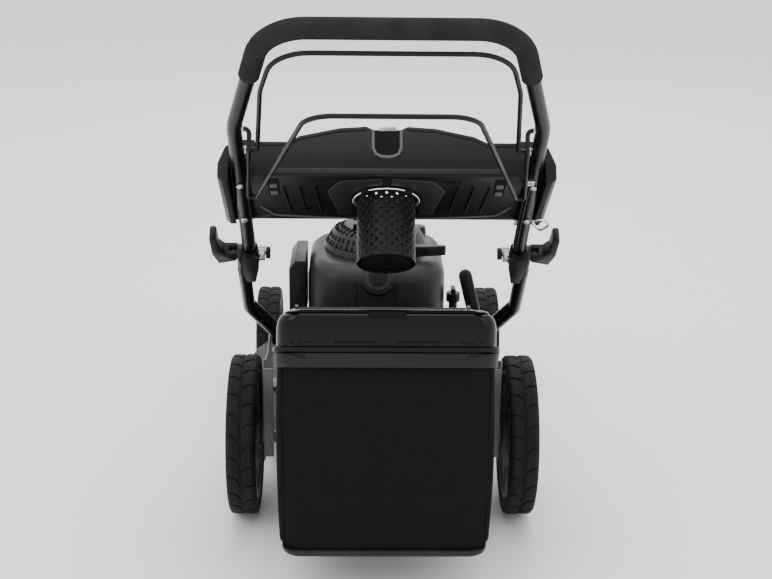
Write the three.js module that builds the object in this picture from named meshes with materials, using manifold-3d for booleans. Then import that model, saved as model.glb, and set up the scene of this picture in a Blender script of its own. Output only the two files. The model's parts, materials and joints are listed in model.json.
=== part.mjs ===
// Walk-behind petrol lawn mower: rear grass bag, two control bails, folding handle with a tray.
// Millimetres. +X is the operator's right, +Y is forward, +Z is up. The work frame has the rear
// axle at y = 0 and the ground at z = 0; the last lines move the origin to the middle of the
// object's footprint.
import * as THREE from "three";
import { mergeVertices } from "three/addons/utils/BufferGeometryUtils.js";
import Module from "manifold-3d";

const wasm = await Module();
wasm.setup();

// ---------------------------------------------------------------- driving dimensions

const GAP = 0.3; // air between two pieces that touch
const RUN = 0.5; // air round a pin, a shaft or a rod in its hole

// Wheels
const REAR_WHEEL_RADIUS = 139.7;
const FRONT_WHEEL_RADIUS = 101.6;
const REAR_TYRE_WIDTH = 52;
const FRONT_TYRE_WIDTH = 51;
const REAR_TRACK = 525.6; // over the tyres' outer faces
const FRONT_TRACK = 511.6;
const WHEELBASE = 604;
const WHEEL_SIDES = 24; // one flat side of each tyre stands on the ground
const TYRE_DEPTH = 17;
const AXLE_RADIUS = 6;
const HUB_RADIUS = 19;

// Deck and blade
const BLADE_RADIUS = 229;
const BLADE_AIR = 12; // from blade tip to chamber wall
const BLADE_AXIS_Y = 318;
const BLADE_Z = 66;
const BLADE_THICKNESS = 3.5;
const BLADE_CHORD = 52;
const DECK_WALL = 3;
const DECK_BOTTOM = 48;
const DECK_TOP = 150;
const DECK_NOSE_HALF = 184; // half the width between the front wheels
const DECK_NOSE_Y = 650;
const DECK_NOSE_BOTTOM = 70;
const DECK_TAIL_Y = 72;
const SHAFT_RADIUS = 11;
const BLADE_BOLT_RADIUS = 6;

// Side brackets that carry the rear axle and the handle
const BRACKET_OUTER = 205;
const BRACKET_INNER = 187;
const BRACKET_SHEET = 3;
const BRACKET_REAR = -22;
const BRACKET_TOP = 285;

// Discharge chute, rear door
const CHUTE_HALF = 150;
const CHUTE_WALL = 3;
const CHUTE_REAR = -30;
const CHUTE_TOP = 326;
const CHUTE_SILL = 186;
const DOOR_LENGTH = 128;
const DOOR_THICKNESS = 4;
const DOOR_PIN_RADIUS = 3;

// Grass bag
const BAG_SLOPE = THREE.MathUtils.degToRad(20.5); // fall of the lid towards the deck
const BAG_REAR = -350;
const BAG_FRONT = -38;
const BAG_HALF = 162;
const BAG_BOTTOM = 99;
const BAG_RIM_Z = 402; // bottom of the rim at the rear
const BAG_RIM_HEIGHT = 24;
const BAG_RIM_HALF = 165;
const BAG_LID_HEIGHT = 62;
const BAG_LID_HALF = 160;
const BAG_LIP_HALF = 168;
const BAG_MOUTH_HALF = 142;
const BAG_MOUTH_HEIGHT = 80;
const BAG_FABRIC = 4;
const BAG_SHELL = 3;
const BAG_PAN_HEIGHT = 14;

// Engine
const ENGINE_X = -8;
const HOOD_WIDTH = 254;
const HOOD_LENGTH = 262;
const HOOD_BOTTOM = 236;
const HOOD_TOP = 384;
const HOOD_CORNER = 62;
const HOOD_SHOULDER = 34;
const HOOD_WALL = 3;
const FAN_COVER_RADIUS = 100;
const FAN_COVER_TOP = 434;
const FLYWHEEL_RADIUS = 82;
const CRANKCASE_RADIUS = 92;

// Handle
const HANDLE_LEAN = THREE.MathUtils.degToRad(43.5); // from upright
const FOLD_Y = -49.7;
const FOLD_Z = 484.8;
const TUBE_RADIUS = 11;
const TUBE_WALL = 1.5;
const TUBE_HALF = 220; // half the distance between the straight legs
const TUBE_FOOT = -28; // along the handle, from the fold bolts
const KNEE_Z = 365;
const KNEE_BEND = 150;
const GRIP_BAR_Z = 589;
const GRIP_BAR_HALF = TUBE_HALF - 53.3; // to the corner that the bend rounds off
const GRIP_BEND = 72;
const FOAM_RADIUS = 14.8;
const FOAM_START_Z = 488;
const LOWER_TUBE_X = TUBE_HALF + 13;
const LOWER_TUBE_WIDTH = 20;
const LOWER_TUBE_DEPTH = 28;
const LOWER_TAB = 8;
const LOWER_END_X = 190;
const FOLD_BOLT_RADIUS = 4;

// Bails
const ROD_RADIUS = 3.5;
const DRIVE_PIVOT_Z = 305;
const DRIVE_REACH = 262;
const DRIVE_LEAN = THREE.MathUtils.degToRad(4.82);
const BRAKE_PIVOT_Z = 360;

// Tray and cup basket
const TRAY_TILT = THREE.MathUtils.degToRad(9); // from the handle's plane
const TRAY_Z = 105;
const TRAY_HALF = TUBE_HALF - 20; // the tub between the handle tubes
const TRAY_WING = TUBE_HALF + 32; // the wings over the tubes
const TRAY_FRONT = -20;
const TRAY_REAR = 153;
const TRAY_WALL = 3;
const CUP_RADIUS = 44;
const CUP_DEPTH = 106;
const CUP_WALL = 2;
const CUP_Z = 65; // from the tray's front, along its floor
const RING_RADIUS = CUP_RADIUS + 6;
const RING_WIRE = 2.2;
const TRAY_BOLTS = [126, 225]; // along the handle
const GUIDE_Z = 105;

// ---------------------------------------------------------------- solids

function solidOf(shape) {
  if (!shape.isBufferGeometry) return shape;
  const loose = shape.index ? shape.toNonIndexed() : shape.clone();
  loose.deleteAttribute("normal");
  loose.deleteAttribute("uv");
  const merged = mergeVertices(loose, 1e-3);
  const mesh = new wasm.Mesh({
    numProp: 3,
    vertProperties: merged.attributes.position.array,
    triVerts: new Uint32Array(merged.index.array),
  });
  return new wasm.Manifold(mesh);
}

const join = (first, ...others) => others.reduce((a, b) => a.add(solidOf(b)), solidOf(first));
const cut = (first, ...others) => others.reduce((a, b) => a.subtract(solidOf(b)), solidOf(first));

function geometryOf(shape) {
  if (shape.isBufferGeometry) return shape;
  const mesh = shape.getMesh();
  const geometry = new THREE.BufferGeometry();
  geometry.setAttribute("position", new THREE.BufferAttribute(mesh.vertProperties, 3));
  geometry.setIndex(new THREE.BufferAttribute(mesh.triVerts, 1));
  const flat = geometry.toNonIndexed();
  flat.computeVertexNormals();
  return flat;
}

// A box from its lowest corner to its highest.
function box([x0, y0, z0], [x1, y1, z1]) {
  const geometry = new THREE.BoxGeometry(x1 - x0, y1 - y0, z1 - z0);
  return geometry.translate((x0 + x1) / 2, (y0 + y1) / 2, (z0 + z1) / 2);
}

// Upright, lengthwise and crosswise cylinders, each from one end to the other.
const sides = (radius) => (radius < 5 ? 8 : radius < 20 ? 12 : 24);

// The radius of a hole whose flat sides clear a cylinder that turns in it.
const bore = (radius) => (radius + GAP) / Math.cos(Math.PI / sides(radius));

function cylinderZ(radius, z0, z1, x = 0, y = 0, top = radius) {
  const geometry = new THREE.CylinderGeometry(top, radius, z1 - z0, sides(radius));
  return geometry.rotateX(Math.PI / 2).translate(x, y, (z0 + z1) / 2);
}

function cylinderX(radius, x0, x1, y = 0, z = 0) {
  const geometry = new THREE.CylinderGeometry(radius, radius, x1 - x0, sides(radius));
  return geometry.rotateZ(-Math.PI / 2).translate((x0 + x1) / 2, y, z);
}

function cylinderY(radius, y0, y1, x = 0, z = 0) {
  const geometry = new THREE.CylinderGeometry(radius, radius, y1 - y0, sides(radius));
  return geometry.translate(x, (y0 + y1) / 2, z);
}

function outline(points) {
  return new THREE.Shape(points.map(([a, b]) => new THREE.Vector2(a, b)));
}

function roundedOutline(a0, b0, a1, b1, radius) {
  const shape = new THREE.Shape();
  shape.moveTo(a0 + radius, b0);
  shape.lineTo(a1 - radius, b0);
  shape.absarc(a1 - radius, b0 + radius, radius, -Math.PI / 2, 0);
  shape.lineTo(a1, b1 - radius);
  shape.absarc(a1 - radius, b1 - radius, radius, 0, Math.PI / 2);
  shape.lineTo(a0 + radius, b1);
  shape.absarc(a0 + radius, b1 - radius, radius, Math.PI / 2, Math.PI);
  shape.lineTo(a0, b0 + radius);
  shape.absarc(a0 + radius, b0 + radius, radius, Math.PI, Math.PI * 1.5);
  return shape;
}

// An outline in plan, pulled up from z0 to z1.
function prismZ(shape, z0, z1, curveSegments = 5) {
  const geometry = new THREE.ExtrudeGeometry(shape, {
    depth: z1 - z0,
    bevelEnabled: false,
    curveSegments,
  });
  return geometry.translate(0, 0, z0);
}

// An outline in the side view (y, z), pulled across from x0 to x1, with rounded edges if asked.
function prismX(shape, x0, x1, round = 0) {
  const geometry = new THREE.ExtrudeGeometry(shape, {
    depth: x1 - x0 - 2 * round,
    bevelEnabled: round > 0,
    bevelSize: round,
    bevelOffset: -round,
    bevelThickness: round,
    bevelSegments: 4,
    curveSegments: 4,
  });
  const toSide = new THREE.Matrix4().makeBasis(
    new THREE.Vector3(0, 1, 0),
    new THREE.Vector3(0, 0, 1),
    new THREE.Vector3(1, 0, 0),
  );
  return geometry.applyMatrix4(toSide).translate(x0 + round, 0, 0);
}

// An outline in the front view (x, z), pulled forward from y0 to y1.
function prismY(shape, y0, y1, curveSegments = 4) {
  const geometry = new THREE.ExtrudeGeometry(shape, {
    depth: y1 - y0,
    bevelEnabled: false,
    curveSegments,
  });
  return geometry.rotateX(Math.PI / 2).translate(0, y1, 0);
}

// A closed profile of [radius, height] points turned round the Z axis.
function turnedZ(profile, segments = 32) {
  const points = profile.map(([radius, height]) => new THREE.Vector2(radius, height));
  let area = 0;
  points.forEach((a, i) => {
    const b = points[(i + 1) % points.length];
    area += a.x * b.y - b.x * a.y;
  });
  if (area < 0) points.reverse();
  const onAxis = points[0].x === 0 && points[points.length - 1].x === 0;
  if (!onAxis) points.push(points[0].clone());
  return new THREE.LatheGeometry(points, segments).rotateX(Math.PI / 2);
}

const turnedX = (profile, segments) => turnedZ(profile, segments).rotateY(Math.PI / 2);

// A bent bar's centre line: straight between corners, with an arc of the given radius at each.
class BentLine extends THREE.Curve {
  constructor(corners, arcStep = 15) {
    super();
    this.points = [];
    corners.forEach(([x, y, z, radius], i) => {
      const corner = new THREE.Vector3(x, y, z);
      if (!radius) return this.points.push(corner);
      const before = new THREE.Vector3(...corners[i - 1]).sub(corner).normalize();
      const after = new THREE.Vector3(...corners[i + 1]).sub(corner).normalize();
      const half = before.angleTo(after) / 2;
      const turn = Math.PI - 2 * half;
      const centre = before.clone().add(after).normalize().multiplyScalar(radius / Math.sin(half));
      const inward = before.clone().multiplyScalar(radius / Math.tan(half)).sub(centre);
      const axis = before.clone().cross(after).normalize();
      const steps = Math.max(2, Math.round(THREE.MathUtils.radToDeg(turn) / arcStep));
      for (let k = 0; k <= steps; k += 1) {
        const spoke = inward.clone().applyAxisAngle(axis, (-turn * k) / steps);
        this.points.push(spoke.add(centre).add(corner));
      }
    });
  }

  get steps() {
    return this.points.length - 1;
  }

  getPoint(t) {
    const place = t * this.steps;
    const i = Math.min(Math.floor(place), this.steps - 1);
    return this.points[i].clone().lerp(this.points[i + 1], place - i);
  }

  getPointAt(t) {
    return this.getPoint(t);
  }

  getTangentAt(t) {
    const i = Math.round(t * this.steps);
    const here = this.points[i];
    const way = new THREE.Vector3();
    if (i > 0) way.add(here.clone().sub(this.points[i - 1]).normalize());
    if (i < this.steps) way.add(this.points[i + 1].clone().sub(here).normalize());
    return way.normalize();
  }
}

function ringOutline(radius, count, hole = 0, holeCount = count) {
  const circle = (r, n) =>
    Array.from({ length: n }, (_, i) => {
      const angle = (2 * Math.PI * (i + 0.5)) / n;
      return new THREE.Vector2(r * Math.cos(angle), r * Math.sin(angle));
    });
  const shape = new THREE.Shape(circle(radius, count));
  if (hole) shape.holes.push(new THREE.Path(circle(hole, holeCount)));
  return shape;
}

function bentBar(section, corners, arcStep) {
  const line = new BentLine(corners, arcStep);
  return new THREE.ExtrudeGeometry(section, { steps: line.steps, extrudePath: line });
}

const rod = (corners, radius = ROD_RADIUS, count = 6) =>
  bentBar(ringOutline(radius, count), corners, 20);

// ---------------------------------------------------------------- finishes

const finish = (color, roughness, metalness) => ({ color, roughness, metalness });
const FINISH = {
  satinBlack: finish(0x1b1b1c, 0.42, 0.0),
  deckBlack: finish(0x232324, 0.5, 0.3),
  bracketGrey: finish(0x6a6b6d, 0.45, 0.4),
  tubeBlack: finish(0x1d1e20, 0.32, 0.4),
  foam: finish(0x2c2c2d, 0.95, 0.0),
  rubber: finish(0x262626, 0.85, 0.0),
  rimGrey: finish(0x3a3b3c, 0.5, 0.0),
  hood: finish(0x3c3c3d, 0.45, 0.0),
  castGrey: finish(0x77797b, 0.55, 0.7),
  zinc: finish(0xb9b7c4, 0.3, 0.9),
  chrome: finish(0xd4d3dc, 0.15, 1.0),
  steel: finish(0x8d8f92, 0.35, 0.9),
  fabric: finish(0x191919, 0.95, 0.0),
  lidGloss: finish(0x202021, 0.25, 0.0),
  panGrey: finish(0x5b5b5c, 0.6, 0.0),
};

function piece(parent, name, shape, look) {
  const mesh = new THREE.Mesh(geometryOf(shape), new THREE.MeshStandardMaterial(look));
  mesh.name = name;
  parent.add(mesh);
  return mesh;
}

const mower = new THREE.Group();
const SIDE = { left: -1, right: 1 };

// ---------------------------------------------------------------- wheels

const flatOf = (radius) => radius * Math.cos(Math.PI / WHEEL_SIDES);
const REAR_AXLE_Z = flatOf(REAR_WHEEL_RADIUS);
const FRONT_AXLE_Z = flatOf(FRONT_WHEEL_RADIUS);

function tyre(radius, width) {
  const half = width / 2;
  const seat = radius - TYRE_DEPTH;
  const profile = [
    [seat, -half + 4],
    [radius - 8, -half],
    [radius - 3, -half + 1.5],
    [radius, -half + 7],
    [radius, half - 7],
    [radius - 3, half - 1.5],
    [radius - 8, half],
    [seat, half - 4],
  ];
  return turnedX(profile, WHEEL_SIDES).rotateX(Math.PI / WHEEL_SIDES);
}

function rim(radius, width) {
  const half = width / 2;
  const edge = radius - TYRE_DEPTH - GAP;
  const bore = AXLE_RADIUS + RUN;
  const profile = [
    [edge, -half + 5],
    [edge, half - 5],
    [edge - 6, half - 5],
    [HUB_RADIUS + 12, half - 22],
    [HUB_RADIUS, half - 6],
    [HUB_RADIUS - 6, half - 1],
    [0, half - 1],
    [0, half - 11],
    [bore, half - 11],
    [bore, -half + 3],
    [HUB_RADIUS, -half + 3],
    [HUB_RADIUS + 6, half - 26],
    [edge - 11, half - 10],
    [edge - 6, -half + 5],
  ];
  return turnedX(profile, WHEEL_SIDES).rotateX(Math.PI / WHEEL_SIDES);
}

const wheelHalf = (track, width) => track / 2 - width / 2;

function addWheel(end, side, { radius, width, track, y }) {
  const wheel = new THREE.Group();
  wheel.position.set(SIDE[side] * wheelHalf(track, width), y, flatOf(radius));
  if (side === "left") wheel.rotation.z = Math.PI;
  piece(wheel, `tyre_${end}_${side}`, tyre(radius, width), FINISH.rubber);
  piece(wheel, `rim_${end}_${side}`, rim(radius, width), FINISH.rimGrey);
  mower.add(wheel);
}

const REAR = { radius: REAR_WHEEL_RADIUS, width: REAR_TYRE_WIDTH, track: REAR_TRACK, y: 0 };
const FRONT = {
  radius: FRONT_WHEEL_RADIUS,
  width: FRONT_TYRE_WIDTH,
  track: FRONT_TRACK,
  y: WHEELBASE,
};
for (const side of Object.keys(SIDE)) {
  addWheel("rear", side, REAR);
  addWheel("front", side, FRONT);
}

// Each axle ends inside its wheels' closed hubs.
const axleEnd = (track, width) => wheelHalf(track, width) + width / 2 - 12;
const REAR_AXLE_END = axleEnd(REAR_TRACK, REAR_TYRE_WIDTH);
const FRONT_AXLE_END = axleEnd(FRONT_TRACK, FRONT_TYRE_WIDTH);

// ---------------------------------------------------------------- deck

const CHAMBER_RADIUS = BLADE_RADIUS + BLADE_AIR;

// The chute's side outline, smaller all round by the inset; open at both of its ends.
function chuteOutline(inset, reach) {
  return outline([
    [DECK_TAIL_Y + 92 + reach, DECK_TOP - inset],
    [DECK_TAIL_Y - inset, CHUTE_TOP - 46 - inset],
    [0, CHUTE_TOP - inset],
    [CHUTE_REAR - reach, CHUTE_TOP - inset],
    [CHUTE_REAR - reach, CHUTE_SILL + inset],
    [48 + inset, CHUTE_SILL + inset],
    [DECK_TAIL_Y + 12 + inset + reach, DECK_TOP - 42 - reach],
    [DECK_TAIL_Y + 92 + reach, DECK_TOP - 42 - reach],
  ]);
}

function deckShell() {
  const nose = roundedOutline(-DECK_NOSE_HALF, DECK_TAIL_Y, DECK_NOSE_HALF, DECK_NOSE_Y, 46);
  const noseIn = roundedOutline(
    -DECK_NOSE_HALF + DECK_WALL,
    DECK_TAIL_Y + DECK_WALL,
    DECK_NOSE_HALF - DECK_WALL,
    DECK_NOSE_Y - DECK_WALL,
    46 - DECK_WALL,
  );
  const outer = CHAMBER_RADIUS + DECK_WALL;
  const chamber = cylinderZ(outer, DECK_BOTTOM, DECK_TOP, ENGINE_X, BLADE_AXIS_Y);
  const lip = cylinderZ(outer + 4, DECK_BOTTOM, DECK_BOTTOM + 5, ENGINE_X, BLADE_AXIS_Y);
  const body = join(chamber, lip, prismZ(nose, DECK_NOSE_BOTTOM, DECK_TOP - 8));
  const hollow = join(
    cylinderZ(CHAMBER_RADIUS, DECK_BOTTOM - 1, DECK_TOP - DECK_WALL, ENGINE_X, BLADE_AXIS_Y),
    prismZ(noseIn, DECK_BOTTOM - 1, DECK_TOP - 8 - DECK_WALL),
  );
  const throat = prismX(chuteOutline(-GAP, 0), -CHUTE_HALF - GAP, CHUTE_HALF + GAP);
  return cut(
    body,
    hollow,
    cylinderZ(34, DECK_TOP - 12, DECK_TOP + 1, ENGINE_X, BLADE_AXIS_Y),
    cylinderX(AXLE_RADIUS + RUN, -DECK_NOSE_HALF - 1, DECK_NOSE_HALF + 1, WHEELBASE, FRONT_AXLE_Z),
    throat,
  );
}

function dischargeChute() {
  const shell = prismX(chuteOutline(0, 0), -CHUTE_HALF, CHUTE_HALF);
  const inside = prismX(chuteOutline(CHUTE_WALL, 1), -CHUTE_HALF + CHUTE_WALL, CHUTE_HALF - CHUTE_WALL);
  const lug = (x) =>
    cut(
      box([x - 3, DOOR_PIN_Y - 9, CHUTE_TOP - 4], [x + 3, DOOR_PIN_Y + 9, DOOR_PIN_Z + 8]),
      cylinderX(DOOR_PIN_RADIUS + GAP, x - 4, x + 4, DOOR_PIN_Y, DOOR_PIN_Z),
    );
  return join(cut(shell, inside), lug(-CHUTE_HALF + 3), lug(CHUTE_HALF - 3));
}

// ---------------------------------------------------------------- grass bag

const bagDrop = (y) => (y - BAG_REAR) * Math.tan(BAG_SLOPE); // how far the rim falls by y
const rimBottom = (y) => BAG_RIM_Z - bagDrop(y);
const rimTop = (y) => rimBottom(y) + BAG_RIM_HEIGHT;
const lidTop = (y) => rimTop(y) + BAG_LID_HEIGHT;

const DOOR_PIN_Y = 12;
const DOOR_PIN_Z = lidTop(DOOR_PIN_Y) + 10; // the door lies on the lid's front

function slopedBand(low, high, inset) {
  const rear = BAG_REAR + inset;
  const front = BAG_FRONT - inset;
  return outline([
    [rear, low(rear)],
    [front, low(front)],
    [front, high(front)],
    [rear, high(rear)],
  ]);
}

function bagFabric() {
  const side = (inset, rise) =>
    outline([
      [BAG_REAR + 2 + inset, BAG_BOTTOM + inset],
      [BAG_FRONT - 84 - inset / 2, BAG_BOTTOM + inset],
      [BAG_FRONT - inset, BAG_BOTTOM + 54 + inset / 2],
      [BAG_FRONT - inset, rimBottom(BAG_FRONT) - GAP + rise],
      [BAG_REAR + 2 + inset, rimBottom(BAG_REAR + 2) - GAP + rise],
    ]);
  const inner = BAG_HALF - BAG_FABRIC;
  return cut(
    prismX(side(0, 0), -BAG_HALF, BAG_HALF),
    prismX(side(BAG_FABRIC, 6), -inner, inner),
    box(
      [-BAG_MOUTH_HALF, BAG_FRONT - 10, CHUTE_SILL + 2],
      [BAG_MOUTH_HALF, BAG_FRONT + 1, CHUTE_SILL + BAG_MOUTH_HEIGHT],
    ),
  );
}

function bagFrame() {
  const inner = BAG_RIM_HALF - 9;
  const low = (y) => rimBottom(y);
  const high = (y) => rimTop(y) - GAP;
  return cut(
    prismX(slopedBand(low, high, 0), -BAG_RIM_HALF, BAG_RIM_HALF),
    prismX(
      slopedBand((y) => low(y) - 6, (y) => high(y) + 6, 9),
      -inner,
      inner,
    ),
  );
}

function bagLid() {
  const dome = (inset) =>
    outline([
      [BAG_REAR + inset, rimTop(BAG_REAR) - 60],
      [BAG_FRONT - inset, rimTop(BAG_FRONT) - 60],
      [BAG_FRONT - inset, lidTop(BAG_FRONT) - inset - 12],
      [BAG_FRONT - 14 - inset, lidTop(BAG_FRONT - 14) - inset],
      [BAG_REAR + 34 + inset, lidTop(BAG_REAR + 34) - inset],
      [BAG_REAR + 12 + inset, lidTop(BAG_REAR + 20) - 7 - inset],
      [BAG_REAR + inset, rimTop(BAG_REAR) + 28],
    ]);
  const below = prismX(
    slopedBand((y) => rimTop(y) - 90, rimTop, -20),
    -BAG_LIP_HALF - 20,
    BAG_LIP_HALF + 20,
  );
  const lip = prismX(slopedBand(rimTop, (y) => rimTop(y) + 12, 0), -BAG_LIP_HALF, BAG_LIP_HALF);
  const inner = BAG_LID_HALF - BAG_SHELL;
  return cut(
    join(prismX(dome(0), -BAG_LID_HALF, BAG_LID_HALF, 24), lip),
    prismX(dome(BAG_SHELL), -inner, inner, 22),
    below,
  );
}

function bagPan() {
  const top = BAG_BOTTOM - GAP;
  const bottom = BAG_BOTTOM - BAG_PAN_HEIGHT;
  const side = (inset) =>
    outline([
      [BAG_REAR + 10 + inset, bottom + inset],
      [BAG_FRONT - 100 - inset, bottom + inset],
      [BAG_FRONT - 88 - inset, top + inset],
      [BAG_REAR + 2 + inset, top + inset],
    ]);
  const half = BAG_HALF - 4;
  const inner = half - BAG_SHELL;
  return cut(prismX(side(0), -half, half), prismX(side(BAG_SHELL), -inner, inner));
}

function rearDoor() {
  const way = [-Math.cos(BAG_SLOPE), Math.sin(BAG_SLOPE)];
  const up = [Math.sin(BAG_SLOPE), Math.cos(BAG_SLOPE)];
  const at = (along, off) => [
    DOOR_PIN_Y + way[0] * along + up[0] * off,
    DOOR_PIN_Z + way[1] * along + up[1] * off,
  ];
  const half = CHUTE_HALF - 8;
  const plate = outline([
    at(0, -6),
    at(DOOR_LENGTH, -6),
    at(DOOR_LENGTH, -6 + DOOR_THICKNESS),
    at(0, -6 + DOOR_THICKNESS),
  ]);
  return cut(
    join(prismX(plate, -half, half), cylinderX(6, -half, half, DOOR_PIN_Y, DOOR_PIN_Z)),
    cylinderX(DOOR_PIN_RADIUS + GAP, -half - 1, half + 1, DOOR_PIN_Y, DOOR_PIN_Z),
  );
}

piece(mower, "deck_shell", deckShell(), FINISH.deckBlack);
piece(mower, "discharge_chute", dischargeChute(), FINISH.satinBlack);
piece(mower, "bag_fabric", bagFabric(), FINISH.fabric);
piece(mower, "bag_frame", bagFrame(), FINISH.satinBlack);
piece(mower, "bag_lid", bagLid(), FINISH.lidGloss);
piece(mower, "bag_pan", bagPan(), FINISH.panGrey);
piece(mower, "rear_door", rearDoor(), FINISH.satinBlack);
const DOOR_PIN_END = CHUTE_HALF + 4;
const doorPin = cylinderX(DOOR_PIN_RADIUS, -DOOR_PIN_END, DOOR_PIN_END, DOOR_PIN_Y, DOOR_PIN_Z);
piece(mower, "door_pin", doorPin, FINISH.zinc);

// ---------------------------------------------------------------- running gear

const GEARBOX_RADIUS = 38;

function axle(half, y, z) {
  return cylinderX(AXLE_RADIUS, -half, half, y, z);
}

function gearbox() {
  const z = REAR_AXLE_Z;
  return cut(
    join(
      cylinderX(GEARBOX_RADIUS, -34, 30, 0, z),
      cylinderX(17, -56, 52, 0, z),
      box([-30, 0, z - 20], [26, 46, z + 20]),
      cylinderZ(10, z - 22, z + 32, -2, 36),
    ),
    cylinderX(AXLE_RADIUS + GAP, -60, 60, 0, z),
  );
}

piece(mower, "rear_axle", axle(REAR_AXLE_END, 0, REAR_AXLE_Z), FINISH.steel);
piece(mower, "front_axle", axle(FRONT_AXLE_END, WHEELBASE, FRONT_AXLE_Z), FINISH.steel);
piece(mower, "drive_gearbox", gearbox(), FINISH.castGrey);

// A side bracket: a sheet beside the wheel, a flange turned in at its rear and a foot on the deck.
function sideBracket(sign) {
  const sheet = outline([
    [BRACKET_REAR, 96],
    [58, 96],
    [150, 112],
    [165, DECK_TOP + GAP],
    [222, DECK_TOP + GAP],
    [222, 186],
    [206, 250],
    [176, 270],
    [148, 256],
    [104, 250],
    [BRACKET_REAR + 60, BRACKET_TOP - 23],
    [BRACKET_REAR, BRACKET_TOP],
  ]);
  const inner = BRACKET_OUTER - BRACKET_SHEET;
  const across = (a, b) => [Math.min(sign * a, sign * b), Math.max(sign * a, sign * b)];
  const [s0, s1] = across(inner, BRACKET_OUTER);
  const [f0, f1] = across(BRACKET_INNER, inner + 1);
  const [g0, g1] = across(inner - 22, inner + 1);
  return cut(
    join(
      prismX(sheet, s0, s1),
      box([f0, BRACKET_REAR, 104], [f1, BRACKET_REAR + BRACKET_SHEET, BRACKET_TOP - 16]),
      box([g0, 176, DECK_TOP + GAP], [g1, 220, DECK_TOP + GAP + BRACKET_SHEET]),
    ),
    cylinderX(AXLE_RADIUS + GAP, s0 - 1, s1 + 1, 0, REAR_AXLE_Z),
  );
}

// The height lever turns on a stud of the right bracket.
const LEVER_X = 172;
const LEVER_Y = 150;
const LEVER_Z = 196;
const LEVER_RISE = 100; // from the stud to the grip
const leverStud = join(
  cylinderX(5, LEVER_X - 7, BRACKET_OUTER - 1, LEVER_Y, LEVER_Z),
  cylinderX(9, LEVER_X - 10, LEVER_X - 6 - GAP, LEVER_Y, LEVER_Z),
);

piece(mower, "handle_bracket_left", sideBracket(-1), FINISH.bracketGrey);
piece(mower, "handle_bracket_right", join(sideBracket(1), leverStud), FINISH.bracketGrey);

// ---------------------------------------------------------------- engine

const engine = new THREE.Group();
engine.position.set(ENGINE_X, BLADE_AXIS_Y, 0);
mower.add(engine);

const FUEL_X = 82;
const FUEL_Y = 90;
const FUEL_NECK = 12;

function hoodBlock(inset) {
  const half = HOOD_WIDTH / 2 - inset;
  const long = HOOD_LENGTH / 2 - inset;
  const shape = roundedOutline(-half, -long, half, long, HOOD_CORNER - inset);
  const round = HOOD_SHOULDER - inset;
  const geometry = new THREE.ExtrudeGeometry(shape, {
    depth: HOOD_TOP - inset - round - (HOOD_BOTTOM - 60),
    bevelEnabled: true,
    bevelSize: round,
    bevelOffset: -round,
    bevelThickness: round,
    bevelSegments: 3,
    curveSegments: 4,
  });
  return geometry.translate(0, 0, HOOD_BOTTOM - 60);
}

function engineHood() {
  return cut(
    hoodBlock(0),
    hoodBlock(HOOD_WALL),
    box([-200, -200, HOOD_BOTTOM - 120], [200, 200, HOOD_BOTTOM]),
    cylinderZ(FAN_COVER_RADIUS - 8, HOOD_TOP - 40, HOOD_TOP + 10),
    cylinderZ(bore(FUEL_NECK), HOOD_TOP - 40, HOOD_TOP + 10, FUEL_X, FUEL_Y),
  );
}

// The fan cover stands on the hood's top; its crown is a grille of square openings.
function fanCover() {
  const base = HOOD_TOP + GAP;
  const profile = [
    [FAN_COVER_RADIUS, base],
    [FAN_COVER_RADIUS - 2, base + 8],
    [82, FAN_COVER_TOP - 14],
    [58, FAN_COVER_TOP - 3],
    [0, FAN_COVER_TOP],
    [0, FAN_COVER_TOP - 3],
    [56, FAN_COVER_TOP - 6],
    [79, FAN_COVER_TOP - 17],
    [FAN_COVER_RADIUS - 6, base + 6],
    [FAN_COVER_RADIUS - 6, base],
  ];
  const slots = [];
  for (let column = -2; column <= 2; column += 1) {
    for (let row = -1; row <= 1; row += 2) {
      const [x, y] = [column * 19, row * 34];
      const low = [x - 6, y - 22, FAN_COVER_TOP - 26];
      slots.push(box(low, [x + 6, y + 22, FAN_COVER_TOP + 2]));
    }
  }
  return cut(
    turnedZ(profile, 24),
    ...slots,
    cylinderX(4.2, 30, 140, ROPE_Y, ROPE_Z),
  );
}

const ROPE_Y = -80;
const ROPE_Z = 402;
const GRIP_REACH = 62;

function starterGrip() {
  const face = 66; // clear of the fan cover's wall at the rope
  const plan = outline([
    [face, ROPE_Y - 8],
    [face + 12, ROPE_Y - 11],
    [face + 34, ROPE_Y - 9],
    [face + GRIP_REACH - 4, ROPE_Y - 4],
    [face + GRIP_REACH, ROPE_Y],
    [face + GRIP_REACH - 4, ROPE_Y + 4],
    [face + 34, ROPE_Y + 9],
    [face + 12, ROPE_Y + 11],
    [face, ROPE_Y + 8],
  ]);
  return join(
    prismZ(plan, ROPE_Z - 9, ROPE_Z + 9),
    cylinderX(2, face - 30, face + 2, ROPE_Y, ROPE_Z),
  );
}

function crankcase() {
  const low = DECK_TOP + GAP;
  return cut(
    join(
      cylinderZ(CRANKCASE_RADIUS, low, 176),
      cylinderZ(CRANKCASE_RADIUS - 14, 175, 268),
      box([-60, 40, 178], [60, 150, HOOD_BOTTOM - 2]),
    ),
    cylinderZ(SHAFT_RADIUS + RUN, low - 1, 280),
  );
}

function cylinderHead() {
  const fins = [];
  for (let y = 158; y < 194; y += 9) fins.push(box([-58, y, 176], [58, y + 3.5, 264]));
  return join(box([-46, 150 + GAP, 186], [46, 196, 254]), ...fins);
}

function muffler() {
  const low = DECK_TOP + 22;
  const body = prismZ(roundedOutline(66, 138, 128, 196, 12), low, low + 74, 3);
  const slots = [];
  for (let x = 74; x < 122; x += 12) slots.push(box([x, 190, low + 12], [x + 6, 200, low + 62]));
  return cut(join(body, cylinderY(9, 118, 140, 90, low + 40)), ...slots);
}

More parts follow.
